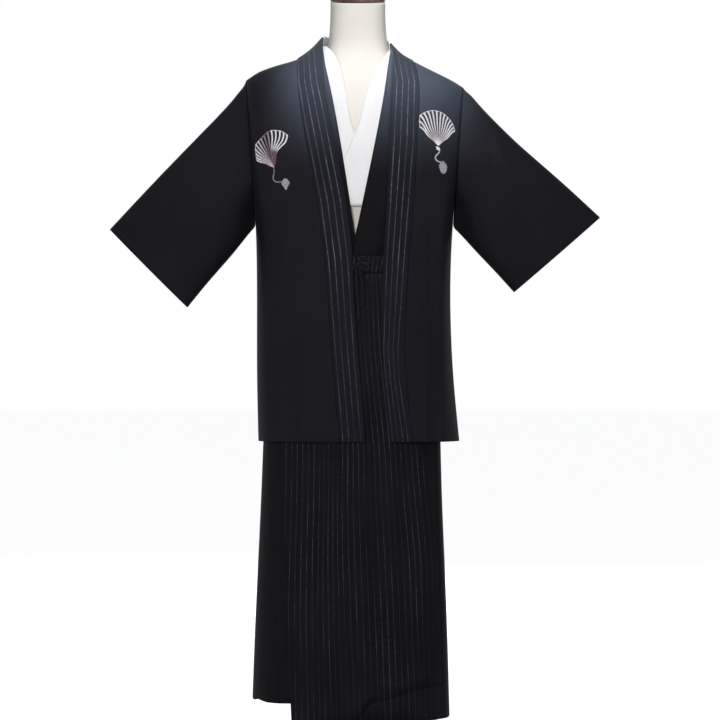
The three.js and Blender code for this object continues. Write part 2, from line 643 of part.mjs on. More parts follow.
const frontEdgeAngle = (z) => angleOfX(column(FRONT_EDGE, "x", z), z);
const skirtFront = () =>
  skirtWrap(
    frontEdgeAngle,
    () => FRONT_END_ANGLE,
    64,
    8,
    (angle) => column(HEM_ROWS, "z", xOfAngle(angle), "x"),
    () => 0,
  );
const skirtLap = () =>
  skirtWrap(
    () => LAP_ANGLES.right,
    () => LAP_ANGLES.left,
    32,
    5,
    () => LAP_HEM_Z,
    () => -LAP_DROP,
  );
const skirtBack = () =>
  skirtWrap(
    (z) => frontEdgeAngle(z) - UNDERLAP_ANGLE,
    () => 2 * Math.PI + FRONT_END_ANGLE + UNDERLAP_ANGLE,
    44,
    6,
    (angle) => column(BACK_HEM, "z", angle, "angle"),
    (angle, z) => {
      const fromEdge = Math.min(angle - frontEdgeAngle(z), 2 * Math.PI + FRONT_END_ANGLE - angle);
      return -UNDERLAP_DROP * (1 - ease(clamp(fromEdge / UNDERLAP_EASE, 0, 1)));
    },
  );

// The drawn waist: a casing with a small frill above it, all round, in even gathers.
function casing() {
  const columns = GATHERS * 3;
  const waist = SKIRT_ROWS[SKIRT_ROWS.length - 1];
  const levels = [
    { z: SKIRT_TOP_Z + SEAM, out: 1.2, wave: 1.6 },
    { z: WAIST_Z - 14, out: -1.2, wave: 1.1 },
    { z: WAIST_Z, out: 1.8, wave: 2.4 },
  ];
  return levels.map((level) =>
    Array.from({ length: columns }, (_, j) => {
      const angle = (2 * Math.PI * j) / columns;
      const round = 2 / SIDE_POWER;
      const out = level.out + level.wave * Math.cos((2 * Math.PI * j) / 3 + 0.4 * Math.sin(angle * 7));
      const [cosine, sine] = [Math.cos(angle), Math.sin(angle)];
      const deep = (sine > 0 ? waist.front : waist.back) + out;
      const wide = waist.left + out;
      return new THREE.Vector3(
        Math.sign(cosine) * Math.pow(Math.abs(cosine), round) * wide,
        -Math.sign(sine) * Math.pow(Math.abs(sine), round) * deep,
        level.z,
      );
    }),
  );
}

// ---------------------------------------------------------------- tie
const TIE_RADIUS = 2.6;
const TIE_KNOT = new THREE.Vector3(6, -122, 1024);
const cordSection = () => {
  const shape = new THREE.Shape();
  shape.absarc(0, 0, TIE_RADIUS, 0, 2 * Math.PI);
  return shape;
};
function cordAlong(points) {
  const path = new THREE.CatmullRomCurve3(points);
  const geometry = new THREE.ExtrudeGeometry(cordSection(), {
    steps: 10,
    curveSegments: 4,
    extrudePath: path,
  });
  return geometry;
}
// Free ends of the tie, from just under the knot, hanging down the skirt's front.
const TIE_RIGHT_ROUTE = [
  { x: 3.5, y: -121, z: 1017 },
  { x: 2, y: -122.5, z: 1003 },
  { x: 2, y: -124, z: 985 },
  { x: 5, y: -125, z: 960 },
  { x: 7, y: -126, z: 935 },
  { x: 7, y: -127, z: 912 },
];
const TIE_LEFT_ROUTE = [
  { x: 9, y: -121, z: 1017 },
  { x: 12, y: -122.5, z: 1004 },
  { x: 15, y: -124, z: 988 },
  { x: 16, y: -125, z: 966 },
  { x: 15, y: -126, z: 942 },
];
const tieEnd = (route) => cordAlong(route.map((p) => new THREE.Vector3(p.x, p.y, p.z)));
function tieLoop(side) {
  const { x, y, z } = TIE_KNOT;
  return cordAlong([
    new THREE.Vector3(x + side * 6.2, y, z + 3.4),
    new THREE.Vector3(x + side * 15, y - 3, z + 4),
    new THREE.Vector3(x + side * 22, y - 5, z - 4),
    new THREE.Vector3(x + side * 19, y - 6, z - 11),
    new THREE.Vector3(x + side * 12, y - 6, z - 8),
    new THREE.Vector3(x + side * 5, y - 6.4, z - 4),
  ]);
}

// ---------------------------------------------------------------- form and stand
const NECK_LEAN = 6; // the neck stands a little towards the wearer's left
const NECK_LEAN_Z = { from: 1390, to: 1470 };
const FORM_FINE_Z = 1360; // rings are twice as close above this height
const FORM_BOTTOM_Z = FORM_ROWS[0].z;
const FORM_POWER = 2.2; // how square a section of the form is
const NECK_TOP = { z: 1581.6, slope: 0.19, radius: 59 };
const NECK_SLOPE_FROM_Z = 1500;
// A smooth closed solid through rings; the neck's top slopes down to the front.
function formBody() {
  const around = 26;
  const heights = FORM_ROWS.flatMap((row, i) => {
    const next = FORM_ROWS[i + 1];
    return next && row.z >= FORM_FINE_Z ? [row.z, (row.z + next.z) / 2] : [row.z];
  });
  const ringAt = (z, slope) =>
    Array.from({ length: around }, (_, j) => {
      const angle = (2 * Math.PI * j) / around;
      const round = 2 / FORM_POWER;
      const [cosine, sine] = [Math.cos(angle), Math.sin(angle)];
      const deep = Math.sign(sine) * Math.pow(Math.abs(sine), round) * column(FORM_ROWS, "deep", z);
      const wide = Math.sign(cosine) * Math.pow(Math.abs(cosine), round) * column(FORM_ROWS, "wide", z);
      const lean = clamp((z - NECK_LEAN_Z.from) / (NECK_LEAN_Z.to - NECK_LEAN_Z.from), 0, 1);
      const x = wide + NECK_LEAN * ease(lean);
      const y = column(FORM_ROWS, "middle", z) - deep;
      return new THREE.Vector3(x, y, z + slope * y);
    });
  const topZ = FORM_ROWS[FORM_ROWS.length - 1].z;
  const rise = (z) => clamp((z - NECK_SLOPE_FROM_Z) / (topZ - NECK_SLOPE_FROM_Z), 0, 1);
  const slopeAt = (z) => NECK_TOP.slope * ease(rise(z));
  return capped(heights.map((z) => ringAt(z, slopeAt(z))));
}

// Closes a stack of rings with a fan at each end.
function capped(rings) {
  const around = rings[0].length;
  const middle = (ring) =>
    ring.reduce((sum, p) => sum.add(p), new THREE.Vector3()).divideScalar(around);
  const points = [...rings.flat(), middle(rings[0]), middle(rings[rings.length - 1])];
  const [low, high] = [points.length - 2, points.length - 1];
  const top = (rings.length - 1) * around;
  const index = [];
  rings.slice(1).forEach((_, i) => {
    for (let j = 0; j < around; j += 1) {
      const [a, b] = [i * around + j, i * around + ((j + 1) % around)];
      index.push(a, b, b + around, a, b + around, a + around);
    }
  });
  for (let j = 0; j < around; j += 1) {
    index.push(low, (j + 1) % around, j);
    index.push(high, top + j, top + ((j + 1) % around));
  }
  return facingOut(points.flatMap((p) => p.toArray()), index);
}

// A turned cap that follows the neck's sloping top.
function neckCap() {
  const profile = [
    { r: NECK_TOP.radius - 3, up: 0 },
    { r: NECK_TOP.radius, up: 3 },
    { r: NECK_TOP.radius, up: 9 },
    { r: NECK_TOP.radius - 4, up: 13 },
    { r: 36, up: 18 },
    { r: 14, up: 20 },
  ];
  const rings = profile.map((p) =>
    Array.from({ length: 28 }, (_, j) => {
      const angle = (2 * Math.PI * j) / 28;
      const y = 2 - p.r * Math.sin(angle);
      return new THREE.Vector3(NECK_LEAN + p.r * Math.cos(angle), y, NECK_TOP.z + p.up + NECK_TOP.slope * y);
    }),
  );
  return capped(rings);
}

function lathe(profile, segments) {
  const geometry = new THREE.LatheGeometry(profile.map(([r, z]) => new THREE.Vector2(r, z)), segments);
  geometry.rotateX(Math.PI / 2);
  return geometry;
}
const base = () =>
  lathe(
    [
      [0, 0],
      [BASE_RADIUS - 3, 0],
      [BASE_RADIUS, 3],
      [BASE_RADIUS, 7],
      [BASE_RADIUS - 6, BASE_HEIGHT - 1],
      [BASE_RADIUS - 14, BASE_HEIGHT],
      [0, BASE_HEIGHT],
    ],
    44,
  );
const ferrule = () =>
  lathe(
    [
      [POLE_RADIUS + SEAM, BASE_HEIGHT + SEAM],
      [40, BASE_HEIGHT + SEAM],
      [40, BASE_HEIGHT + 5],
      [25, BASE_HEIGHT + 12],
      [25, BASE_HEIGHT + 38],
      [POLE_RADIUS + SEAM, BASE_HEIGHT + 38],
      [POLE_RADIUS + SEAM, BASE_HEIGHT + SEAM],
    ],
    32,
  );
const pole = () =>
  lathe(
    [
      [0, BASE_HEIGHT + SEAM],
      [POLE_RADIUS, BASE_HEIGHT + SEAM],
      [POLE_RADIUS, FORM_BOTTOM_Z - SEAM],
      [0, FORM_BOTTOM_Z - SEAM],
    ],
    24,
  );

// ---------------------------------------------------------------- materials and nodes
const finish = (color, roughness, metalness = 0) =>
  new THREE.MeshStandardMaterial({ color, roughness, metalness });
const jacketCloth = finish(0x1b1c22, 0.85);
const stripeCloth = finish(0x2b2b33, 0.85);
const robeCloth = finish(0x141519, 0.88);
const whiteCloth = finish(0xf2f2f4, 0.8);
const formCloth = finish(0xece6d8, 0.75);
const wood = finish(0x6b4a38, 0.45);
const metal = finish(0x24242a, 0.4, 0.8);

const outfit = new THREE.Group();
function add(name, geometry, material) {
  const mesh = new THREE.Mesh(geometry, material);
  mesh.name = name;
  outfit.add(mesh);
}

add("jacket_front_right", wall(jacketFront(-1), CLOTH, 1), jacketCloth);
add("jacket_front_left", wall(jacketFront(1), CLOTH, -1), jacketCloth);
add("jacket_back", wall(jacketBackPanel(), CLOTH, 1), jacketCloth);
add("jacket_sleeve_right", wall(sleeve(-1), CLOTH, 1, true), jacketCloth);
add("jacket_sleeve_left", wall(sleeve(1), CLOTH, -1, true), jacketCloth);
add("collar_band_right", wall(bandFront(-1), COLLAR_CLOTH, 1), stripeCloth);
add("collar_band_left", wall(bandFront(1), COLLAR_CLOTH, -1), stripeCloth);
add("collar_band_back", wall(bandBack(), COLLAR_CLOTH, 1), stripeCloth);
add("wrap_top_front_right", wall(robeFront(-1), CLOTH, 1), robeCloth);
add("wrap_top_front_left", wall(robeFront(1), CLOTH, -1), robeCloth);
add("wrap_top_back", wall(robeBack(), CLOTH, 1), robeCloth);
add("inner_collar_right", wall(innerFront(-1), INNER_CLOTH, 1), whiteCloth);
add("inner_collar_left", wall(innerFront(1), INNER_CLOTH, -1), whiteCloth);
add("inner_collar_back", wall(innerBack(), INNER_CLOTH, 1), whiteCloth);
add("skirt_front", wall(skirtFront(), CLOTH, -1), stripeCloth);
add("skirt_lap", wall(skirtLap(), CLOTH, -1), stripeCloth);
add("skirt_back", wall(skirtBack(), CLOTH, -1), robeCloth);
add("skirt_waist", wall(casing(), CLOTH, -1, true), stripeCloth);
add("tie_knot", new THREE.SphereGeometry(5.4, 12, 8).translate(TIE_KNOT.x, TIE_KNOT.y, TIE_KNOT.z), robeCloth);
add("tie_loop_right", tieLoop(-1), robeCloth);
add("tie_loop_left", tieLoop(1), robeCloth);
add("tie_end_right", tieEnd(TIE_RIGHT_ROUTE), robeCloth);
add("tie_end_left", tieEnd(TIE_LEFT_ROUTE), robeCloth);
add("form_body", formBody(), formCloth);
add("form_cap", neckCap(), wood);
add("stand_pole", pole(), metal);
add("stand_ferrule", ferrule(), metal);
add("stand_base", base(), metal);

export default outfit;
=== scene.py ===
# %% [markdown]
# # A yukata outfit on a dress form
#
# A short jacket with wide sleeves hangs open over a wrap top, a gathered pinstripe wrap skirt and a white
# inner collar. Everything rests on a limbless form with a round stand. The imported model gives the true
# cuts and sizes. This script gives the cloth its soft surface, its creases, its thread and its colours.
# All lengths are in metres, +Z is up, and -Y is the front.

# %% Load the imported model
import math
import bmesh
import bpy
import numpy as np
from mathutils import Matrix, Vector
from mathutils.bvhtree import BVHTree


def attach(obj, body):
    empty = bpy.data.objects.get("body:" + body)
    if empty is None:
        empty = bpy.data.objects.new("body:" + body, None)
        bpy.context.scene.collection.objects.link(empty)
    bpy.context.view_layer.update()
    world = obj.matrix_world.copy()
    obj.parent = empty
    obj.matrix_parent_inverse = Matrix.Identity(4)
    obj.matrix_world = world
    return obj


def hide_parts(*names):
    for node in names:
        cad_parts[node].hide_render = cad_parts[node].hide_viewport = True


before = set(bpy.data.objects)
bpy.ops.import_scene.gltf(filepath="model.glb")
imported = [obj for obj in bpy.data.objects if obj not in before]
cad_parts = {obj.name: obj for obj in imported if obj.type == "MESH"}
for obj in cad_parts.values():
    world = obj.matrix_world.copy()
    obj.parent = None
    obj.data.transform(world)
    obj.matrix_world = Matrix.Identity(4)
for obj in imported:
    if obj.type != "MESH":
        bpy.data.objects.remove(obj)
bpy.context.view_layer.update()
scene = bpy.context.scene
MM = 0.001
print("nodes:", len(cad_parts))

# %% [markdown]
# ## Camera
#
# The outfit is seen straight from the front, from the height of the jacket's hem. A long lens from six
# metres keeps the outline nearly free of perspective, so that widths read true.

# %% Camera
CAMERA_DISTANCE = 6.0
VIEW_WIDTH = 1.512
VIEW_CENTRE = (0.0105, 0.829)
camera_data = bpy.data.cameras.new("camera")
camera_data.sensor_fit = "HORIZONTAL"
camera_data.angle = 2 * math.atan(VIEW_WIDTH / 2 / CAMERA_DISTANCE)
camera = bpy.data.objects.new("camera", camera_data)
camera.location = (VIEW_CENTRE[0], -CAMERA_DISTANCE, VIEW_CENTRE[1])
camera.rotation_euler = (math.pi / 2, 0, 0)
scene.collection.objects.link(camera)
scene.camera = camera
print("field of view:", round(math.degrees(camera_data.angle), 2), "degrees")

# %% [markdown]
# ## Shader helpers
#
# A material is a net of nodes. Written out one by one, the sums in it are hard to read, so a small class
# wraps one output socket and lets it be added and multiplied like a number. Each sum adds its Math node.

# %% A socket that can be calculated with
class Wire:
    def __init__(self, finish, socket):
        self.finish = finish
        self.socket = socket

    def __add__(self, other): return self.finish.maths("ADD", self, other)
    def __radd__(self, other): return self.finish.maths("ADD", other, self)
    def __sub__(self, other): return self.finish.maths("SUBTRACT", self, other)
    def __rsub__(self, other): return self.finish.maths("SUBTRACT", other, self)
    def __mul__(self, other): return self.finish.maths("MULTIPLY", self, other)
    def __rmul__(self, other): return self.finish.maths("MULTIPLY", other, self)
    def sine(self): return self.finish.maths("SINE", self)
    def size(self): return self.finish.maths("ABSOLUTE", self)
    def fraction(self): return self.finish.maths("FRACT", self)
    def whole(self): return self.finish.maths("FLOOR", self)


# %% A material with its nodes
class Finish:
    def __init__(self, name):
        self.material = bpy.data.materials.new(name)
        self.material.use_nodes = True
        self.tree = self.material.node_tree
        self.surface = self.tree.nodes["Principled BSDF"]

    def node(self, kind, settings=None, inputs=None, output=0):
        made = self.tree.nodes.new(kind)
        for key, value in (settings or {}).items():
            if key == "stops":
                ramp = made.color_ramp
                while len(ramp.elements) < len(value):
                    ramp.elements.new(0.5)
                for stop, (place, colour) in zip(ramp.elements, value):
                    stop.position, stop.color = place, (*colour, 1)
            else:
                setattr(made, key, value)
        for key, value in (inputs or {}).items():
            self.feed(made.inputs[key], value)
        return Wire(self, made.outputs[output])

    def feed(self, socket, value):
        if isinstance(value, Wire):
            self.tree.links.new(value.socket, socket)
        else:
            socket.default_value = value

    def maths(self, operation, *values):
        return self.node("ShaderNodeMath", {"operation": operation}, dict(enumerate(values)))

    def step(self, value, low, high):
        return self.node("ShaderNodeMapRange", {"interpolation_type": "SMOOTHSTEP"},
                         {"Value": value, "From Min": low, "From Max": high})

    def mix(self, factor, first, second):
        return self.node("ShaderNodeMix", {"data_type": "RGBA"}, {0: factor, 6: first, 7: second}, output=2)

    def uv(self, name):
        place = self.node("ShaderNodeUVMap", {"uv_map": name})
        return self.split(place)

    def place(self):
        return self.node("ShaderNodeTexCoord", output=3)

    def split(self, vector):
        made = self.tree.nodes.new("ShaderNodeSeparateXYZ")
        self.feed(made.inputs[0], vector)
        return [Wire(self, made.outputs[i]) for i in range(3)]

    def join(self, x, y, z):
        return self.node("ShaderNodeCombineXYZ", inputs={0: x, 1: y, 2: z})

    def noise(self, vector, scale, detail=3.0, roughness=0.5):
        return self.node("ShaderNodeTexNoise", inputs={
            "Vector": vector, "Scale": scale, "Detail": detail, "Roughness": roughness})

    def bump(self, height, depth, strength=1.0):
        return self.node("ShaderNodeBump", inputs={"Height": height, "Distance": depth, "Strength": strength})

    def set(self, **values):
        for key, value in values.items():
            self.feed(self.surface.inputs[key.replace("_", " ")], value)
        return self


def colour(text):
    """A screen colour such as 1b1c22 as linear red, green, blue and alpha."""
    parts = [int(text[i:i + 2], 16) / 255 for i in (0, 2, 4)]
    return (*[c / 12.92 if c <= 0.04045 else ((c + 0.055) / 1.055) ** 2.4 for c in parts], 1)


print("shader helpers ready")

# %% [markdown]
# ## Black cloth
#
# The jacket is a light plain weave in near black. Real cloth of this kind isn't one flat black: each yarn
# is a little thicker here and there, which shows as faint streaks along the grain, and the fibres catch
# light at a low angle as a soft blue-grey sheen. A weave bump, streaky noise and the sheen give those.

# %% Plain weave
YARN_PITCH = 0.0008
STREAKS_ACROSS = 420
STREAKS_ALONG = 9


def weave(u, v):
    """Height from 0 to 1 of a plain weave, over one and under one."""
    turn = 2 * math.pi / YARN_PITCH
    return (u * turn).sine() * (v * turn).sine() * 0.5 + 0.5


def streaks(finish, u, v, seed):
    """Slow changes of colour along the two directions of the yarn."""
    warp = finish.noise(finish.join(u * STREAKS_ACROSS, v * STREAKS_ALONG, seed), 1.0, 3)
    weft = finish.noise(finish.join(u * STREAKS_ALONG, v * STREAKS_ACROSS, seed + 7), 1.0, 3)
    return warp * 0.6 + weft * 0.4


print("yarns:", round(0.01 / YARN_PITCH, 1), "to the centimetre")

# %% Painted shoulder highlight and stitches
# The blue-grey painted on the shoulders as a highlight from the overhead light, and where it lies.
SHOULDER_HIGHLIGHT_COLOUR = "505866"
SHOULDER_HIGHLIGHT_HEIGHTS = (1.2, 1.5)
SHOULDER_HIGHLIGHT_REACH = (0.13, 0.26)
STITCHES_PER_METRE = 250
SEWING_THREAD = "26262d"


def painted_shoulder_highlight(finish, tone, most):
    """Painted highlight: the shoulders are painted a lighter blue-grey, where the overhead light falls on
    them.
    """
    x, _, z = finish.split(finish.place())
    share = finish.step(z, *SHOULDER_HIGHLIGHT_HEIGHTS) * (1 - finish.step((x - 0.05).size(), *SHOULDER_HIGHLIGHT_REACH))
    return finish.mix(share * most, tone, colour(SHOULDER_HIGHLIGHT_COLOUR))


def stitches(finish, off, along):
    """A row of small running stitches, 4 mm apart: 1 on the thread and 0 off it."""
    row = 1 - finish.step(off.size(), 0.0004, 0.0009)
    return row * finish.step((along * STITCHES_PER_METRE).fraction(), 0.3, 0.42)


# %% Plain black cloth
SHEEN_TINT = "a3abbd"
GLOSS_TINT = "d8def0"
LINT = "8a8a94"


def black_cloth(name, dark, light, seed, shine, sheen, hem, cuff):
    """Hem is the height of a stitched row, and cuff is where one lies along a sleeve's map."""
    finish = Finish(name)
    u, v, _ = finish.uv("cloth")
    yarn = streaks(finish, u, v, seed)
    cloud = finish.noise(finish.place(), 5.0, 4)
    lint = finish.step(finish.noise(finish.join(u * 260, v * 260, seed), 1.0, 2), 0.72, 0.8)
    tone = finish.mix(finish.step(yarn * 0.65 + cloud * 0.35, 0.3, 0.7), colour(dark), colour(light))
    sewn = stitches(finish, v - hem, u) + stitches(finish, u - cuff, v)
    # Here the shoulders get the painted highlight at full strength.
    tone = finish.mix(sewn * 0.5, painted_shoulder_highlight(finish, tone, 1.0), colour(SEWING_THREAD))
    height = weave(u, v) * 0.6 + yarn - sewn * 1.5
    return finish.set(
        Base_Color=finish.mix(lint * 0.05, tone, colour(LINT)),
        Roughness=0.40 + yarn * 0.14,
        Normal=finish.bump(height, 0.00014, 0.4),
        Sheen_Weight=sheen,
        Sheen_Roughness=0.4,
        Sheen_Tint=colour(SHEEN_TINT),
        Specular_IOR_Level=shine,
        Specular_Tint=colour(GLOSS_TINT),
    ).material


JACKET_HEM_ROW = 0.682
SKIRT_HEM_ROW = 0.115
CUFF_ROW = -0.497
jacket_cloth = black_cloth("jacket_cloth", "0f0d10", "19171a", 1.0, 0.5, 0.02, JACKET_HEM_ROW, CUFF_ROW)
plain_cloth = black_cloth("plain_cloth", "0e0d0e", "171618", 4.0, 0.25, 0.02, SKIRT_HEM_ROW, CUFF_ROW)
print("black cloths:", jacket_cloth.name, plain_cloth.name)

# %% [markdown]
# ## Pinstripe cloth
#
# The band and the skirt are woven with thin light stripes from a slubby yarn: each stripe is broken, here
# bright and there nearly gone. The piece's own map called "stripe" counts the stripes across, so a stripe
# lies where its number is whole, and it follows the cloth round the body and into the gathers.

# %% Pinstripes
STRIPE_PITCH = 0.0125


def stripe_cloth(name, ground, light, strength, shine, sheen, seed, last, fade, width=0.0012):
    """Stripes numbered up to last. As a painted light falloff, they dim from full at fade's upper height to a
    share at its lower one.
    """
    finish = Finish(name)
    u, v, _ = finish.uv("cloth")
    count, along, _ = finish.uv("stripe")
    yarn = streaks(finish, u, v, seed)
    number = (count + 0.5).whole()
    off = (count - number).size() * STRIPE_PITCH
    slub = finish.noise(finish.join(number * 3.7, along * 130, seed), 1.0, 4, 0.65)
    long_slub = finish.noise(finish.join(number * 5.3, along * 14, seed + 3), 1.0, 2)
    group = finish.noise(finish.join(number * 0.21, along * 3.5, seed + 5), 1.0, 2)
    inside = finish.step(count, -0.6, -0.5) * (1 - finish.step(count, last + 0.5, last + 0.6))
    thread = (1 - finish.step(off, width * 0.3, width)) * inside
    broken = finish.step(slub * 0.6 + long_slub * 0.6, 0.48, 0.8)
    hairs = finish.noise(finish.join(u * 1800, v * 500, seed), 1.0, 2)
    # Painted light falloff: the stripes are painted dimmer lower down, where less of the overhead light
    # reaches.
    height_share = fade["least"] + (1 - fade["least"]) * finish.step(v, fade["low"], fade["high"])
    even = 1 - fade["groups"] * (1 - finish.step(group, 0.38, 0.6))
    stripe = thread * (0.2 + broken * 0.8) * (0.75 + hairs * 0.5) * height_share * even * strength
    cloud = finish.noise(finish.place(), 6.0, 4)
    tone = finish.mix(finish.step(yarn * 0.6 + cloud * 0.4, 0.3, 0.7), colour(ground[0]), colour(ground[1]))
    height = weave(u, v) * 0.5 + yarn * 0.8 + thread * 0.9
    return finish.set(
        # The shoulders get half of the painted highlight here.
        Base_Color=finish.mix(stripe, painted_shoulder_highlight(finish, tone, 0.5), colour(light)),
        Roughness=0.40 + yarn * 0.14,
        Normal=finish.bump(height, 0.00016, 0.4),
        Sheen_Weight=sheen,
        Sheen_Roughness=0.4,
        Sheen_Tint=colour(SHEEN_TINT),
        Specular_IOR_Level=shine,
        Specular_Tint=colour(GLOSS_TINT),
    ).material


# %% The three pinstripe cloths
BAND_LAST = 3
SKIRT_LAST = 26
# Heights between which the stripes are painted dimmer lower down as a painted light falloff, and how far
# random groups of stripes dim.
BAND_STRIPE_DIMMING = {"low": 0.8, "high": 1.45, "least": 0.36, "groups": 0.35}
SKIRT_STRIPE_DIMMING = {"low": 0.0, "high": 0.6, "least": 0.75, "groups": 0.75}
BAND_STRIPE = "b4b6c2"
SKIRT_STRIPE = "8d8a98"
band_cloth = stripe_cloth(
    "band_cloth", ("101015", "1a1a20"), BAND_STRIPE, 0.45, 0.35, 0.03, 2.0, BAND_LAST, BAND_STRIPE_DIMMING)
skirt_cloth = stripe_cloth(
    "skirt_cloth", ("111012", "1c1a1e"), SKIRT_STRIPE, 0.2, 0.08, 0.02, 5.0, SKIRT_LAST, SKIRT_STRIPE_DIMMING)
waist_cloth = stripe_cloth(
    "waist_cloth", ("100f11", "1a191c"), SKIRT_STRIPE, 0.4, 0.12, 0.02, 5.0, SKIRT_LAST, SKIRT_STRIPE_DIMMING, 0.0023)
print("pinstripe cloths:", band_cloth.name, skirt_cloth.name, waist_cloth.name)

# %% [markdown]
# ## The other finishes
#
# The inner collar is smooth white cotton, the form is covered in a tight cream jersey, its cap is stained
# wood, and the stand has satin black paint.

# %% White cotton
white = Finish("white_cloth")
u, v, _ = white.uv("cloth")
yarn = streaks(white, u, v, 9.0)
white.set(
    Base_Color=white.mix(yarn, colour("d6d5d7"), colour("e6e5e5")),
    Roughness=0.72 + yarn * 0.12,
    Normal=white.bump(weave(u, v) * 0.7 + yarn, 0.0002, 0.6),
    Sheen_Weight=0.05, Specular_IOR_Level=0.2)

# %% Cream jersey
jersey = Finish("form_cloth")
place = jersey.place()
x, y, z = jersey.split(place)
rib = ((x + y * 0.4) * (2 * math.pi / 0.0013)).sine()
loops = (z * (2 * math.pi / 0.001)).sine().size()
cloud = jersey.noise(place, 14.0, 4)
jersey.set(
    Base_Color=jersey.mix(cloud, colour("cfcbc4"), colour("dbd7cf")),
    Roughness=0.7 + cloud * 0.15,
    Normal=jersey.bump(rib * loops * 0.5 + cloud, 0.00025, 0.6),
    Sheen_Weight=0.05, Specular_IOR_Level=0.2)

# %% Stained wood and painted steel
wood = Finish("wood")
x, y, z = wood.split(wood.place())
grain = wood.noise(wood.join(x * 14, y * 150, z * 60), 1.0, 5, 0.6)
fine = wood.noise(wood.join(x * 90, y * 900, z * 400), 1.0, 2)
wood.set(
    Base_Color=wood.mix(wood.step(grain * 0.8 + fine * 0.2, 0.32, 0.66), colour("33241e"), colour("6a5046")),
    Roughness=0.32 + fine * 0.2, Normal=wood.bump(grain + fine * 0.5, 0.0002, 0.5), Coat_Weight=0.35)
paint = Finish("stand_metal")
peel = paint.noise(paint.place(), 700.0, 2)
dust = paint.noise(paint.place(), 22.0, 5, 0.7)
paint.set(
    Base_Color=paint.mix(paint.step(dust, 0.5, 0.85), colour("18181a"), colour("36363a")),
    Roughness=0.3 + dust * 0.3, Metallic=0.2, Normal=paint.bump(peel, 0.00015, 0.4))
print("finishes:", white.material.name, jersey.material.name, wood.material.name, paint.material.name)

# %% [markdown]
# ## Cloth from its solid
#
# Each panel's solid is a thin closed wall of loose triangles. A copy is merged and its triangles are
# joined back into four-sided faces. Edges where the wall turns over its rim are creased, so that smoothing
# keeps the cut edge crisp. Subdivision then gives the panel enough points for soft creases.

# %% A smooth copy of a panel
CREASE_ANGLE = math.radians(48)


def link(name, mesh):
    piece = bpy.data.objects.new(name, mesh)
    scene.collection.objects.link(piece)
    return piece


def smooth_copy(node, name, levels):
    shell = bmesh.new()
    shell.from_mesh(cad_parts[node].data)
    bmesh.ops.remove_doubles(shell, verts=shell.verts, dist=2e-5)
    bmesh.ops.join_triangles(shell, faces=shell.faces, angle_face_threshold=math.radians(60),
                             angle_shape_threshold=math.radians(60))
    crease = shell.edges.layers.float.new("crease_edge")
    for edge in shell.edges:
        if edge.calc_face_angle(0) > CREASE_ANGLE:
            edge[crease] = 1
    mesh = bpy.data.meshes.new(name + "_cage")
    shell.to_mesh(mesh)
    quads = sum(1 for face in shell.faces if len(face.verts) == 4)
    print(f"{name}: {quads} of {len(shell.faces)} faces have four sides")
    shell.free()
    cage = link(name + "_cage", mesh)
    smoothing = cage.modifiers.new("smooth", "SUBSURF")
    smoothing.levels = smoothing.render_levels = levels
    evaluated = cage.evaluated_get(bpy.context.evaluated_depsgraph_get())
    finished = bpy.data.meshes.new_from_object(evaluated)
    finished.name = name
    piece = link(name, finished)
    bpy.data.objects.remove(cage)
    for polygon in finished.polygons:
        polygon.use_smooth = True
    return piece


def points_of(mesh):
    flat = np.empty(len(mesh.vertices) * 3)
    mesh.vertices.foreach_get("co", flat)
    return flat.reshape(-1, 3)


def move_points(mesh, points):
    mesh.vertices.foreach_set("co", points.ravel())
    mesh.update()


# %% [markdown]
# ## Maps for cloth
#
# Weave and stripes follow the cloth, not the room. So each piece gets a map in metres of cloth: how far
# round the body, and how high. Round the body, a section is a squared-off oval, and its length from the
# middle front to a point is added up once and then looked up.

# %% Length round a squared-off oval
OVAL_POWER = 2.5
OVAL_DEPTH = 0.66
turns = np.linspace(math.pi / 2, 0, 400)
oval_x = np.cos(turns) ** (2 / OVAL_POWER)
oval_y = OVAL_DEPTH * np.sin(turns) ** (2 / OVAL_POWER)
oval_length = np.concatenate([[0], np.cumsum(np.hypot(np.diff(oval_x), np.diff(oval_y)))])


def round_the_body(x, half_width):
    """Signed length of cloth from the middle to x, on an oval of that half width."""
    share = np.clip(np.abs(x) / half_width, 0, 1)
    return np.sign(x) * half_width * np.interp(share, oval_x, oval_length)


def set_map(mesh, name, u, v):
    layer = mesh.uv_layers.new(name=name)
    corner = np.empty(len(mesh.loops), np.int32)
    mesh.loops.foreach_get("vertex_index", corner)
    layer.data.foreach_set("uv", np.stack([u[corner], v[corner]], 1).ravel())


JACKET_HALF_WIDTH = 0.21
SLEEVE_SLOPE = (0.66, 0.75)


def body_map(mesh, half_width):
    x, _, z = points_of(mesh).T
    set_map(mesh, "cloth", round_the_body(x, half_width), z)


def sleeve_map(mesh, side):
    """Turned with the sleeve, so that the yarns run along it and across it."""
    x, _, z = points_of(mesh).T
    flat, steep = SLEEVE_SLOPE
    set_map(mesh, "cloth", side * x * flat - z * steep, side * x * steep + z * flat)


print("quarter oval:", round(float(oval_length[-1]), 3), "half widths")

# %% [markdown]
# ## Creases
#
# Hanging cloth has long soft troughs and ridges where it is held and lets go: below the shoulder, from the
# armhole, and where the sleeve bends down. Each is a line on the front or back, with its own width and
# height. Points near the line move in or out, most in its middle and fading to nothing at its ends.

# %% Creases as relief
CREASE_END = 0.08
CREASE_WAVE = 0.12
CREASE_SWAY = 0.25


def along_line(x, z, line):
    """How far along a line a point is, from 0 to 1, and how far off it."""
    (x0, z0), (x1, z1) = line["start"], line["end"]
    dx, dz = (x1 - x0) * MM, (z1 - z0) * MM
    long = math.hypot(dx, dz)
    ex, ez = x - x0 * MM, z - z0 * MM
    share = (ex * dx + ez * dz) / long ** 2
    off = (ex * dz - ez * dx) / long
    return share, off


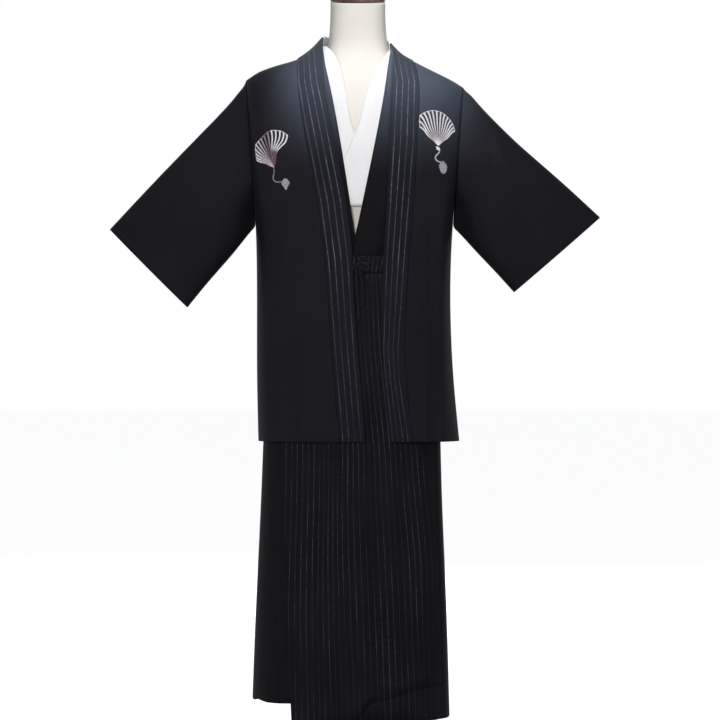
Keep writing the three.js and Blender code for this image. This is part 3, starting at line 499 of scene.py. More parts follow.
def relief(x, z, creases):
    """Height of all creases together. Each one wavers a little in width and in place along its line."""
    total = np.zeros_like(x)
    for i, line in enumerate(creases):
        share, off = along_line(x, z, line)
        inside = np.clip(share, 0, 1)
        fade = np.sin(np.pi * np.clip(inside * 0.88 + 0.06, 0, 1)) ** 0.7
        if line.get("open_end"):
            fade = np.sin(np.pi / 2 * inside) ** 0.8
        beyond = np.maximum(share - 1, 0) + np.maximum(-share, 0)
        fade = fade * np.exp(-(beyond / CREASE_END) ** 2)
        width = line["wide"] * MM * (1 + CREASE_WAVE * np.sin(9 * share + i))
        sway = line["wide"] * MM * CREASE_SWAY * np.sin(4.3 * share + 2 * i)
        total += line["high"] * MM * fade * np.exp(-((off + sway) / width) ** 2)
    return total


# %% Moving points by creases
SIDE_SEAM_FADE = 0.05
SLEEVE_ROOT = 0.232
SLEEVE_ROOT_FADE = 0.05
SLEEVE_HALF_DEPTH = 0.035


def crease_body(piece, front, back):
    """Moves a body panel's points in or out, away from the middle of the body."""
    points = points_of(piece.data)
    x, y, z = points.T
    shift = np.where(y < 0, relief(x, z, front), relief(x, z, back))
    turn_in = np.clip(np.abs(y) / SIDE_SEAM_FADE, 0, 1)
    points[:, 1] += np.sign(y) * shift * turn_in
    move_points(piece.data, points)


def crease_sleeve(piece, side, front, back):
    """Moves a sleeve's two faces; the fold on top and the seam beneath stay where they are."""
    points = points_of(piece.data)
    x, y, z = points.T
    shift = np.where(y < 0, relief(side * x, z, front), relief(side * x, z, back))
    root = np.clip((side * x - SLEEVE_ROOT) / SLEEVE_ROOT_FADE, 0, 1)
    points[:, 1] += np.clip(y / SLEEVE_HALF_DEPTH, -1, 1) * shift * root
    move_points(piece.data, points)


print("crease helpers ready")

# %% [markdown]
# ## The tie
#
# A dark cord draws in the waist. It is tied in a small bow, and its two ends hang down the front of the
# skirt, each stopped with a little knot. The ends are free cords, so they come first: each follows its own
# smooth route, and its length is what shows.

# %% Cord finish
cord_cloth = Finish("tie_cord")
x, _, z = cord_cloth.split(cord_cloth.place())
down = z * (2 * math.pi / 0.0016)
across = x * (2 * math.pi / 0.0022)
braid = (down + across).sine().size()
braid_back = (down - across).sine().size()
fuzz = cord_cloth.noise(cord_cloth.place(), 900.0, 3)
cord_cloth.set(
    Base_Color=cord_cloth.mix(fuzz, colour("121216"), colour("202026")),
    Roughness=0.6 + fuzz * 0.2,
    Normal=cord_cloth.bump(braid * braid_back + fuzz * 0.4, 0.0004, 0.8),
    Sheen_Weight=0.03, Specular_IOR_Level=0.2)

# %% Routes
TIE_RADIUS = 0.0026
KNOT_RADIUS = 0.0042
TIE_KNOT = Vector((6, -122, 1024)) * MM
TIE_RIGHT_ROUTE = [(3.5, -121, 1017), (2, -122.5, 1003), (2, -124, 985), (5, -125, 960), (7, -126, 935),
                   (7, -127, 912)]
TIE_LEFT_ROUTE = [(9, -121, 1017), (12, -122.5, 1004), (15, -124, 988), (16, -125, 966), (15, -126, 942)]


def smooth_route(route, parts=6):
    """Points on one smooth line through the route's points."""
    knots = [Vector(p) * MM for p in route]
    knots = [2 * knots[0] - knots[1], *knots, 2 * knots[-1] - knots[-2]]
    line = []
    for a, b, c, d in zip(knots, knots[1:], knots[2:], knots[3:]):
        for i in range(parts):
            t = i / parts
            line.append(0.5 * (2 * b + (c - a) * t + (2 * a - 5 * b + 4 * c - d) * t ** 2
                               + (3 * b - a - 3 * c + d) * t ** 3))
    return [*line, knots[-2]]


def cord_curve(name, line, radius):
    curve = bpy.data.curves.new(name, "CURVE")
    curve.dimensions = "3D"
    curve.bevel_depth = radius
    curve.bevel_resolution = 4
    curve.use_fill_caps = True
    spline = curve.splines.new("POLY")
    spline.points.add(len(line) - 1)
    for point, at in zip(spline.points, line):
        point.co = (*at, 1)
    curve.materials.append(cord_cloth.material)
    return link(name, curve)


def end_knot(name, at):
    """A small overhand knot: two turns of cord pulled tight on each other."""
    knot = bmesh.new()
    for tilt, lift in ((0.5, 0.0012), (-0.5, -0.0012)):
        ring = bmesh.ops.create_uvsphere(knot, u_segments=16, v_segments=10, radius=KNOT_RADIUS)
        shape = Matrix.Translation(at + Vector((0, 0, lift))) @ Matrix.Rotation(tilt, 4, "Y")
        bmesh.ops.transform(knot, matrix=shape @ Matrix.Diagonal((1, 0.9, 0.55, 1)), verts=ring["verts"])
    mesh = bpy.data.meshes.new(name)
    knot.to_mesh(mesh)
    knot.free()
    for polygon in mesh.polygons:
        polygon.use_smooth = True
    mesh.materials.append(cord_cloth.material)
    return link(name, mesh)


# %% The two hanging ends
for side, route in (("right", TIE_RIGHT_ROUTE), ("left", TIE_LEFT_ROUTE)):
    line = smooth_route(route)
    length = sum((b - a).length for a, b in zip(line, line[1:]))
    tail = cord_curve(f"tie_tail_{side}", line, TIE_RADIUS)
    knot = end_knot(f"tie_tail_knot_{side}", line[-1] + Vector((0, 0, -0.001)))
    for piece in (tail, knot):
        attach(piece, "root")
    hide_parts(f"tie_end_{side}")
    print("tie end", side, round(length, 4), "m")

# %% The bow
BOW_LOOP = [(6.2, 0, 3.4), (15, -3, 4), (22, -5, -4), (19, -6, -11), (12, -6, -8), (5, -6.4, -4)]


def bow_loop(side):
    """Out from the knot, over and back into it; side is -1 for the right loop and 1 for the left one."""
    x, y, z = TIE_KNOT / MM
    return smooth_route([(x + side * dx, y + dy, z + dz) for dx, dy, dz in BOW_LOOP])


for side, sign in (("right", -1), ("left", 1)):
    loop = cord_curve(f"tie_bow_{side}", bow_loop(sign), TIE_RADIUS)
    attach(loop, "root")
    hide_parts(f"tie_loop_{side}")
knot = end_knot("tie_bow_knot", TIE_KNOT)
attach(knot, "root")
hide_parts("tie_knot")
print("bow tied")

# %% [markdown]
# ## The jacket
#
# Two fronts, a back and two wide sleeves in the plain black cloth. The fronts hang straight from the
# shoulder with a long trough down the wearer's left side. Each sleeve falls from the shoulder at about
# forty-five degrees, with soft diagonal creases that start at the armhole.

# %% Creases of the jacket
JACKET_FRONT = [
    {"start": (-196, 1380), "end": (-188, 1130), "wide": 16, "high": -3.5},
    {"start": (-172, 1330), "end": (-150, 700), "wide": 22, "high": -3.0},
    {"start": (-120, 1120), "end": (-132, 660), "wide": 26, "high": 2.5, "open_end": True},
    {"start": (-76, 1010), "end": (-84, 660), "wide": 20, "high": -2.0, "open_end": True},
    {"start": (-199, 1060), "end": (-186, 680), "wide": 18, "high": 3.0, "open_end": True},
    {"start": (158, 1310), "end": (157, 680), "wide": 10, "high": -6.0, "open_end": True},
    {"start": (182, 1280), "end": (184, 700), "wide": 12, "high": 3.5},
    {"start": (196, 1370), "end": (178, 1130), "wide": 15, "high": -3.0},
    {"start": (140, 1120), "end": (136, 660), "wide": 14, "high": 2.2, "open_end": True},
    {"start": (120, 1400), "end": (150, 1200), "wide": 20, "high": -1.4},
    {"start": (-104, 1410), "end": (-150, 1180), "wide": 22, "high": -1.4},
]
JACKET_BACK = [
    {"start": (-186, 1360), "end": (-150, 1000), "wide": 22, "high": -4.0},
    {"start": (188, 1350), "end": (148, 980), "wide": 22, "high": -4.0},
    {"start": (-60, 1380), "end": (-84, 760), "wide": 30, "high": 2.6},
    {"start": (40, 1400), "end": (64, 700), "wide": 26, "high": -2.8},
    {"start": (-20, 1000), "end": (-32, 660), "wide": 24, "high": 3.0, "open_end": True},
    {"start": (128, 1060), "end": (120, 660), "wide": 22, "high": 3.2, "open_end": True},
    {"start": (-136, 1020), "end": (-140, 660), "wide": 20, "high": -2.6, "open_end": True},
]
SLEEVE_FRONT = [
    {"start": (246, 1370), "end": (330, 1060), "wide": 20, "high": -3.5},
    {"start": (262, 1340), "end": (420, 1060), "wide": 26, "high": 2.6},
    {"start": (300, 1290), "end": (470, 1100), "wide": 18, "high": -2.2},
    {"start": (238, 1230), "end": (300, 1040), "wide": 16, "high": 2.4},
    {"start": (350, 1180), "end": (388, 1000), "wide": 24, "high": -2.2},
]
SLEEVE_BACK = [
    {"start": (250, 1350), "end": (350, 1080), "wide": 24, "high": -3.0},
    {"start": (280, 1320), "end": (450, 1090), "wide": 22, "high": 2.4},
    {"start": (240, 1200), "end": (330, 1020), "wide": 20, "high": -2.4},
    {"start": (360, 1160), "end": (420, 1020), "wide": 26, "high": 1.8},
]


def finish_piece(piece, material, slot, *nodes):
    piece.data.materials.clear()
    piece.data.materials.append(material)
    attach(piece, "root")
    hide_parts(*nodes)


def wall_area(piece):
    """Half of a thin closed wall's surface: the size of the cloth itself."""
    return sum(p.area for p in piece.data.polygons) / 2


# %% Fronts and back
panels = {}
for name in ("jacket_front_right", "jacket_front_left", "jacket_back"):
    piece = smooth_copy(name, name.replace("jacket", "haori"), 3)
    crease_body(piece, JACKET_FRONT, JACKET_BACK)
    body_map(piece.data, JACKET_HALF_WIDTH)
    finish_piece(piece, jacket_cloth, "jacket_cloth", name)
    panels[name] = piece
    print(name, "cloth", round(wall_area(piece), 3), "square metres")

# %% Sleeves
for side, sign in (("right", -1), ("left", 1)):
    piece = smooth_copy(f"jacket_sleeve_{side}", f"haori_sleeve_{side}", 3)
    crease_sleeve(piece, sign, SLEEVE_FRONT, SLEEVE_BACK)
    sleeve_map(piece.data, sign)
    finish_piece(piece, jacket_cloth, "jacket_cloth", f"jacket_sleeve_{side}")
    panels[f"jacket_sleeve_{side}"] = piece
    print("sleeve", side, round(wall_area(piece), 3), "square metres")

# %% [markdown]
# ## The collar band
#
# One long band of pinstripe cloth runs down each front and round the neck. Four stripes lie across its
# width, nearer to the seam than to the free edge. The stripe map numbers them from the seam, 0 to 3.

# %% Where the first and the last stripe lie, by height
BAND_STRIPES = {
    "right": {"z": [670, 850, 1035, 1158, 1343, 1405, 1467, 1505],
              "first": [-25, -40, -54, -70, -106, -116, -118, -118],
              "last": [12, -3, -15, -30, -66, -79, -85, -86]},
    "left": {"z": [670, 726, 788, 850, 1035, 1282, 1405, 1467, 1505],
             "first": [109, 100, 91, 88, 101, 120, 123, 112, 106],
             "last": [77, 71, 64, 59, 66, 81, 87, 77, 73]},
}


def band_map(mesh, side):
    x, _, z = points_of(mesh).T
    table = BAND_STRIPES[side]
    first, last = (np.interp(z / MM, table["z"], table[key]) * MM for key in ("first", "last"))
    set_map(mesh, "cloth", round_the_body(x, JACKET_HALF_WIDTH), z)
    set_map(mesh, "stripe", (x - first) / (last - first) * BAND_LAST, z)


for side in ("right", "left"):
    piece = smooth_copy(f"collar_band_{side}", f"band_{side}", 3)
    crease_body(piece, JACKET_FRONT, JACKET_BACK)
    band_map(piece.data, side)
    finish_piece(piece, band_cloth, "stripe_cloth", f"collar_band_{side}")
    panels[f"collar_band_{side}"] = piece
    print("band", side, round(wall_area(piece), 3), "square metres")

# %% [markdown]
# Behind the neck, the stripes keep their distance from the band's two rims. So its points are sorted into
# sectors by their bearing from the middle of the neck, and each sector's lowest and highest point give the
# rims there.

# %% The band behind the neck
NECK_X = 0.0035
NECK_RADIUS = 0.1
SECTORS = 40
piece = smooth_copy("collar_band_back", "band_back", 3)
x, y, z = points_of(piece.data).T
bearing = np.arctan2(x - NECK_X, y)
bounds = np.linspace(bearing.min(), bearing.max(), SECTORS + 1)
sector = np.clip(np.digitize(bearing, bounds) - 1, 0, SECTORS - 1)
middles = (bounds[1:] + bounds[:-1]) / 2
lowest = np.interp(bearing, middles, [z[sector == i].min() for i in range(SECTORS)])
highest = np.interp(bearing, middles, [z[sector == i].max() for i in range(SECTORS)])
up = (z - lowest) / (highest - lowest)
set_map(piece.data, "cloth", bearing * NECK_RADIUS, z)
set_map(piece.data, "stripe", (up - 0.07) * 4, bearing * NECK_RADIUS)
finish_piece(piece, band_cloth, "stripe_cloth", "collar_band_back")
panels["collar_band_back"] = piece
print("band back", round(wall_area(piece), 3), "square metres")

# %% [markdown]
# ## Wrap top and inner collar
#
# Under the jacket, the left front of the plain wrap top lies over the right one. The white inner collar
# shows inside its V as two smooth bands that end in a straight hem over the chest.

# %% Wrap top
WRAP_HALF_WIDTH = 0.195
WRAP_CREASES = [
    {"start": (60, 1330), "end": (20, 1080), "wide": 14, "high": -1.4},
    {"start": (-50, 1330), "end": (-22, 1090), "wide": 14, "high": -1.4},
    {"start": (90, 1200), "end": (30, 1020), "wide": 16, "high": 1.6},
]
for name in ("wrap_top_front_right", "wrap_top_front_left", "wrap_top_back"):
    piece = smooth_copy(name, name.replace("wrap_top", "wrap"), 2)
    crease_body(piece, WRAP_CREASES, [])
    body_map(piece.data, WRAP_HALF_WIDTH)
    finish_piece(piece, plain_cloth, "plain_cloth", name)
    panels[name] = piece
    print(name, round(wall_area(piece), 3), "square metres")

# %% Inner collar
COLLAR_HALF_WIDTH = 0.18
COLLAR_CREASES = [
    {"start": (-38, 1280), "end": (8, 1276), "wide": 2.2, "high": 1.3},
    {"start": (-30, 1247), "end": (-4, 1242), "wide": 2.4, "high": 1.0},
    {"start": (-30, 1300), "end": (-6, 1180), "wide": 9, "high": -0.8},
    {"start": (30, 1290), "end": (12, 1180), "wide": 9, "high": -0.8},
]
for name in ("inner_collar_right", "inner_collar_left", "inner_collar_back"):
    piece = smooth_copy(name, name.replace("inner_collar", "juban"), 3)
    crease_body(piece, COLLAR_CREASES, [])
    body_map(piece.data, COLLAR_HALF_WIDTH)
    finish_piece(piece, white.material, "white_cloth", name)
    panels[name] = piece
    print(name, round(wall_area(piece), 3), "square metres")

# %% [markdown]
# ## The skirt
#
# The outer wrap is pinstripe cloth, drawn in at the waist. Its stripes run from the gathers down to the
# hem and spread as the skirt widens. A table gives where a few of the numbered stripes lie at each height,
# and the map finds every point's number between them. Where they lie closer, the cloth turns into a fold.

# %% Stripe map of the skirt
STRIPE_NUMBERS = [-3, 0, 6, 11, 17, 22, 26, 30]
STRIPE_PLACES = {
    60: [-176, -145, -71, -13, 63, 126, 170, 214],
    129: [-177, -146, -72, -15, 61, 124, 167, 210],
    294: [-182, -149, -76, -21, 55, 117, 162, 207],
    417: [-181, -146, -76, -25, 49, 112, 160, 206],
    541: [-178, -143, -73, -27, 43, 101, 147, 192],
    640: [-176, -142, -72, -25, 40, 94, 138, 182],
    724: [-174, -141, -75, -29, 32, 86, 128, 168],
    850: [-168, -138, -80, -35, 20, 72, 112, 152],
    1014: [-150, -128, -84, -42, 14, 62, 98, 130],
}


SKIRT_HALF_WIDTH = 0.2


def skirt_map(mesh):
    x, _, z = points_of(mesh).T
    heights = sorted(STRIPE_PLACES)
    places = np.array([STRIPE_PLACES[height] for height in heights], float).T
    lines = np.stack([np.interp(z / MM, heights, place) * MM for place in places])
    number = np.zeros_like(x)
    for i, (low, high) in enumerate(zip(lines, lines[1:])):
        share = np.clip((x - low) / (high - low), 0, 1)
        number += share * (STRIPE_NUMBERS[i + 1] - STRIPE_NUMBERS[i])
    set_map(mesh, "cloth", round_the_body(x, SKIRT_HALF_WIDTH), z)
    set_map(mesh, "stripe", number + STRIPE_NUMBERS[0], z)


print("skirt stripes placed at", len(STRIPE_PLACES), "heights")

# %% Long folds
SKIRT_FRONT_CREASES = [
    {"start": (-118, 990), "end": (-134, 120), "wide": 8, "high": -1.6, "open_end": True},
    {"start": (-92, 960), "end": (-104, 240), "wide": 9, "high": 1.8},
    {"start": (-30, 940), "end": (-36, 140), "wide": 10, "high": -2.4, "open_end": True},
    {"start": (2, 960), "end": (-4, 360), "wide": 8, "high": 1.6},
    {"start": (36, 900), "end": (52, 160), "wide": 9, "high": -2.0, "open_end": True},
    {"start": (70, 960), "end": (94, 200), "wide": 9, "high": 1.8, "open_end": True},
    {"start": (108, 900), "end": (132, 180), "wide": 10, "high": -2.2, "open_end": True},
]
SKIRT_BACK_CREASES = [
    {"start": (-120, 960), "end": (-150, 120), "wide": 18, "high": -3.0, "open_end": True},
    {"start": (-60, 960), "end": (-78, 100), "wide": 20, "high": 3.0, "open_end": True},
    {"start": (10, 980), "end": (6, 100), "wide": 18, "high": -3.4, "open_end": True},
    {"start": (70, 960), "end": (88, 100), "wide": 20, "high": 3.0, "open_end": True},
    {"start": (120, 940), "end": (150, 100), "wide": 16, "high": -2.8, "open_end": True},
]

# %% [markdown]
# The waist is drawn together by the tie. There the stripes stand close and fan out a little upwards, small
# slanting gathers lie between them, and the frill's upper rim isn't quite even.

# %% Gathers of the waist
WAIST_CREASES = [
    {"start": (4, 1046), "end": (6, 1022), "wide": 2.4, "high": 1.2},
    {"start": (-5, 1030), "end": (1, 1000), "wide": 2.6, "high": 1.2},
    {"start": (22, 1038), "end": (25, 1012), "wide": 2.4, "high": 1.4},
    {"start": (34, 1046), "end": (35, 1016), "wide": 2.6, "high": 1.5},
    {"start": (45, 1036), "end": (28, 1002), "wide": 2.8, "high": 1.6},
    {"start": (52, 1044), "end": (47, 1008), "wide": 2.6, "high": 1.2},
]


FRILL_RISE = 0.0013
WAIST_HALF_WIDTH = 0.15
WAIST_HEIGHTS = (1.0, 1.046)
WAIST_SPACINGS = (0.0078, 0.0104)
FAN_MIDDLE = 0.018
FAN_STRIPE = 12


def frill_edge(piece):
    """Lets the frill's upper rim rise and fall a little with its gathers."""
    points = points_of(piece.data)
    x, y, z = points.T
    middle, half = (z.max() + z.min()) / 2, (z.max() - z.min()) / 2
    bearing = np.arctan2(x, -y)
    wave = np.sin(bearing * 71) + 0.7 * np.sin(bearing * 43 + 1.3)
    points[:, 2] += FRILL_RISE * wave * np.clip((z - middle) / half, 0, 1)
    move_points(piece.data, points)


def waist_map(mesh):
    """Stripes drawn together by the gathers, fanning out a little upwards from the tie."""
    x, _, z = points_of(mesh).T
    spacing = np.interp(z, WAIST_HEIGHTS, WAIST_SPACINGS)
    set_map(mesh, "cloth", round_the_body(x, WAIST_HALF_WIDTH), z)
    set_map(mesh, "stripe", FAN_STRIPE + (x - FAN_MIDDLE) / spacing, z)


# %% Skirt pieces
for name, levels, material, slot in (
    ("skirt_front", 2, skirt_cloth, "stripe_cloth"),
    ("skirt_lap", 2, skirt_cloth, "stripe_cloth"),
    ("skirt_back", 3, plain_cloth, "plain_cloth"),
    ("skirt_waist", 2, waist_cloth, "stripe_cloth"),
):
    piece = smooth_copy(name, name.replace("skirt", "hakama"), levels)
    if name == "skirt_waist":
        crease_body(piece, WAIST_CREASES, [])
        frill_edge(piece)
        waist_map(piece.data)
    else:
        crease_body(piece, SKIRT_FRONT_CREASES, SKIRT_BACK_CREASES)
        skirt_map(piece.data)
    finish_piece(piece, material, slot, name)
    panels[name] = piece
    print(name, round(wall_area(piece), 3), "square metres")

# %% [markdown]
# ## Embroidered fans
#
# On each side of the chest, an open folding fan is worked in satin stitch: every rib is a row of short
# slanting threads side by side. A curved cord and a tassel hang from its pivot. Each thread is a small
# rounded sliver laid on the cloth, which is found by looking at the front panel straight from the front.

# %% Embroidery thread
thread = Finish("embroidery_thread")
tint = thread.node("ShaderNodeAttribute", {"attribute_name": "thread_colour"})
shine = thread.noise(thread.place(), 2600.0, 2)
thread.set(Base_Color=tint, Roughness=0.32 + shine * 0.18, Sheen_Weight=0.3, Specular_IOR_Level=0.6,
           Normal=thread.bump(shine, 0.0001, 0.5))
print("thread finish:", thread.material.name)

# %% Laying threads on the cloth
BATCH = 40


class Embroidery:
    """Threads laid on one front panel, collected in one mesh."""

    def __init__(self, name, panel):
        self.name = name
        self.whole = bmesh.new()
        self.count = 0
        self.start_batch()
        self.cloth = BVHTree.FromObject(panel, bpy.context.evaluated_depsgraph_get())

    def start_batch(self):
        """Threads are made a few at a time, because each operator gets slower as its mesh grows."""
        self.mesh = bmesh.new()
        self.tint = self.mesh.verts.layers.float_color.new("thread_colour")

    def keep_batch(self):
        part = bpy.data.meshes.new("threads")
        self.mesh.to_mesh(part)
        self.mesh.free()
        self.whole.from_mesh(part)
        bpy.data.meshes.remove(part)
        self.start_batch()

    def on_cloth(self, x, z):
        return self.cloth.ray_cast(Vector((x, -1, z)), Vector((0, 1, 0)))[:2]

    def lay(self, start, end, thick, shade, lift=0.3):
        """One thread between two points given as (x, z) in metres."""
        middle = ((start[0] + end[0]) / 2, (start[1] + end[1]) / 2)
        at, normal = self.on_cloth(*middle)
        if at is None:
            return
        reach = Vector((end[0] - start[0], 0, end[1] - start[1]))
        long = reach.length
        reach = (reach - normal * reach.dot(normal)).normalized()
        side = normal.cross(reach)
        turn = Matrix((reach, side, normal)).transposed().to_4x4()
        shape = Matrix.Diagonal((long / 2 + thick * 0.3, thick / 2, thick * 0.42, 1))
        made = bmesh.ops.create_uvsphere(self.mesh, u_segments=6, v_segments=4, radius=1,
                                         matrix=Matrix.Translation(at + normal * thick * lift) @ turn @ shape)
        for vert in made["verts"]:
            vert[self.tint] = shade
        self.count += 1
        if self.count % BATCH == 0:
            self.keep_batch()

    def satin(self, line, widths, step, thick, shade, slant=0.5):
        """Satin stitch along a line of (x, z) points, as wide as widths says at each end."""
        total = sum(math.dist(a, b) for a, b in zip(line, line[1:]))
        rows = max(2, round(total / step))
        for i in range(rows):
            t = (i + 0.5) / rows
            spot, ahead = self.walk(line, t), self.walk(line, min(1, t + 0.02))
            back = self.walk(line, max(0, t - 0.02))
            dx, dz = ahead[0] - back[0], ahead[1] - back[1]
            size = math.hypot(dx, dz) or 1
            dx, dz = dx / size, dz / size
            half = (widths[0] + (widths[1] - widths[0]) * t) / 2
            across = (-dz + dx * slant, dx + dz * slant)
            self.lay((spot[0] - across[0] * half, spot[1] - across[1] * half),
                     (spot[0] + across[0] * half, spot[1] + across[1] * half), thick, shade(t))

    @staticmethod
    def walk(line, t):
        place = t * (len(line) - 1)
        i = min(int(place), len(line) - 2)
        f = place - i
        return tuple(a + (b - a) * f for a, b in zip(line[i], line[i + 1]))

    def done(self):
        self.keep_batch()
        mesh = bpy.data.meshes.new(self.name)
        self.whole.to_mesh(mesh)
        self.whole.free()
        for polygon in mesh.polygons:
            polygon.use_smooth = True
        mesh.materials.append(thread.material)
        piece = link(self.name, mesh)
        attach(piece, "root")
        print(self.name, self.count, "threads,", len(mesh.polygons), "faces")
        return piece


def blend(first, second, t):
    return tuple(a + (b - a) * t for a, b in zip(first, second))


# %% Fan shapes
WHITE_THREAD, SILVER, GREY, PINK, MAUVE = (
    colour(c) for c in ("f6f4f7", "b9b6bf", "7b7a7f", "cdbcc6", "62414f"))
FANS = {
    "right": {
        "panel": "jacket_front_right", "pivot": (-166, 1226), "ribs": 14, "from": 155, "to": 68,
        "bow": 2, "pinch": 13,
        "long": [(0, 41), (0.14, 48), (0.28, 62), (0.47, 67), (0.66, 77), (0.87, 76), (1, 71.5)]},
    "left": {
        "panel": "jacket_front_left", "pivot": (172, 1271), "ribs": 14, "from": 135, "to": 43.4,
        "bow": -2, "pinch": 0,
        "long": [(0, 54), (0.147, 73), (0.355, 74.5), (0.49, 72), (0.6, 67.7), (0.78, 59), (1, 48)]},
}
RIB_POINTS = 9


def rib_line(fan, share):
    """From the pivot to the leaf's edge, as (x, z) points in metres. Ribs at one side start pinched in."""
    spread = fan["from"] + (fan["to"] - fan["from"]) * share
    long = float(np.interp(share, *zip(*fan["long"])))
    x0, z0 = fan["pivot"]
    line = []
    for i in range(RIB_POINTS):
        t = i / (RIB_POINTS - 1)
        held = float(np.interp(t, [0.42, 0.7], [1, 0]))
        pinch = fan["pinch"] * max(0, share - 0.6) / 0.4 * held
        angle = math.radians(spread + pinch + fan["bow"] * math.sin(3 * math.pi * t) * (1 - 2 * share))
        line.append(((x0 + long * t * math.cos(angle)) * MM, (z0 + long * t * math.sin(angle)) * MM))
    return line


def rib_shade(side, share):
    """Thread colours from the pivot to the tip: mauve in the middle of the right fan, white at its sides."""
    if side == "left":
        return lambda t: blend(WHITE_THREAD, blend(SILVER, PINK, 0.6), math.exp(-((t - 0.3) / 0.17) ** 2))
    if share > 0.67:
        return lambda t: blend(MAUVE, WHITE_THREAD, min(1, max(0, (t - 0.42) * 8)))
    middle = math.exp(-((share - 0.54) / 0.15) ** 2)
    return lambda t: blend(blend(PINK, MAUVE, middle), blend(WHITE_THREAD, MAUVE, middle * 0.8),
                           min(1, max(0, (t - 0.4) * 2.5)))


# %% Cords and tassels of the fans
CORDS = {
    "right": [(-166.5, 1224), (-166.5, 1214), (-168.5, 1207), (-168, 1201), (-163, 1196), (-157, 1195.5),
              (-150, 1196.5)],
    "left": [(172, 1268), (174, 1262), (174, 1257), (169, 1252), (165.5, 1247), (167, 1241.5), (171, 1238.5),
             (177, 1237)],
}
TASSELS = {"right": {"top": (-143.5, 1201), "end": (-141.5, 1178.5), "wide": 16.5, "tip": 0.15},
           "left": {"top": (180, 1238), "end": (184, 1212.5), "wide": 16, "tip": 0.7}}
TASSEL_THREADS = 17


def tassel(work, top, end, wide, tip):
    """A leaf of long threads, tied at the top. Its lower end is tip times as wide as its middle."""
    for i in range(TASSEL_THREADS):
        share = i / (TASSEL_THREADS - 1) * 2 - 1
        dx, dz = end[0] - top[0], end[1] - top[1]
        length = math.hypot(dx, dz)
        side = (dz / length, -dx / length)
        swell = share * wide / 2
        fall = 1 - 0.22 * share ** 2
        line = [(top[0] + side[0] * swell * k + dx * t * fall, top[1] + side[1] * swell * k + dz * t * fall)
                for t, k in ((0, 0.35), (0.3, 0.9), (0.55, 1), (1, tip))]
        for a, b in zip(line, line[1:]):
            a = (a[0] * 1.2 - b[0] * 0.2, a[1] * 1.2 - b[1] * 0.2)
            work.lay((a[0] * MM, a[1] * MM), (b[0] * MM, b[1] * MM), 0.0013,
                     blend(GREY, SILVER, 0.5 + 0.5 * math.sin(3 * i)), lift=0.35)


# %% Work the two fans
KNOB = [(0.1705, 1.2685), (0.1725, 1.2615)]
for side, fan in FANS.items():
    work = Embroidery(f"fan_{side}", panels[fan["panel"]])
    tips = []
    for i in range(fan["ribs"]):
        share = i / (fan["ribs"] - 1)
        line = rib_line(fan, share)
        tips.append(line[-1])
        work.satin(line, (0.0014, 0.0044), 0.00085, 0.0008, rib_shade(side, share))
    for i, (a, b) in enumerate(zip(tips, tips[1:])):
        rim = rib_shade(side, (i + 0.5) / len(tips))(1)
        work.satin([a, b], (0.0014, 0.0014), 0.0009, 0.0006, lambda t: rim, slant=1.2)
    cord = [(x * MM, z * MM) for x, z in CORDS[side]]
    strand = GREY if side == "right" else SILVER
    work.satin(cord, (0.0028, 0.0028), 0.0008, 0.001, lambda t: strand)
    if side == "left":
        work.satin(KNOB, (0.009, 0.0075), 0.0008, 0.0011, lambda t: WHITE_THREAD)
    tassel(work, **TASSELS[side])
    work.done()

# %% [markdown]
# ## Form and stand
#
# The form is one smooth body under tight jersey, with a turned wooden cap. The stand's parts are turned
# too, so each is spun from half of its outline.

# %% Form
form = smooth_copy("form_body", "dress_form", 2)
finish_piece(form, jersey.material, "form_cloth", "form_body")
cap = smooth_copy("form_cap", "form_neck_cap", 2)
finish_piece(cap, wood.material, "wood", "form_cap")
print("form:", len(form.data.polygons), "faces, and its cap", len(cap.data.polygons))

# %% Turned parts of the stand
STEPS_AROUND = 96


def turned(name, outline, node):
    """Spins half an outline of (radius, height) points, in millimetres, round the upright axis."""
    shape = bmesh.new()
    verts = [shape.verts.new((r * MM, 0, z * MM)) for r, z in outline]
    edges = [shape.edges.new(pair) for pair in zip(verts, verts[1:])]
    bmesh.ops.spin(shape, geom=[*verts, *edges], cent=(0, 0, 0), axis=(0, 0, 1), angle=2 * math.pi,
                   steps=STEPS_AROUND, use_merge=True)
    bmesh.ops.remove_doubles(shape, verts=shape.verts, dist=1e-5)
    bmesh.ops.recalc_face_normals(shape, faces=shape.faces)
    mesh = bpy.data.meshes.new(name)
    shape.to_mesh(mesh)
    shape.free()
    for polygon in mesh.polygons:
        polygon.use_smooth = True
    mesh.set_sharp_from_angle(angle=math.radians(35))
    piece = link(name, mesh)
    finish_piece(piece, paint.material, "stand_metal", node)
    print(name, len(mesh.polygons), "faces")


BASE_OUTLINE = [(0, 0), (197, 0), (199, 1), (200, 3), (200, 7), (199, 9), (194, 13), (186, 14), (0, 14)]
FERRULE_OUTLINE = [(16.3, 14.3), (40, 14.3), (40, 18), (39, 19.5), (28, 24), (25.5, 27), (25, 51), (24, 52),
                   (16.3, 52), (16.3, 14.3)]
POLE_OUTLINE = [(0, 14.3), (16, 14.3), (16, 744.7), (0, 744.7)]
turned("round_base", BASE_OUTLINE, "stand_base")
turned("base_ferrule", FERRULE_OUTLINE, "stand_ferrule")
turned("upright_pole", POLE_OUTLINE, "stand_pole")

# %% [markdown]
# ## Sheets
#
# Every piece of cloth is listed with the size that it was cut to. The cut is the rectangle that a maker
# would lay out, and the area is what is left after shaping.

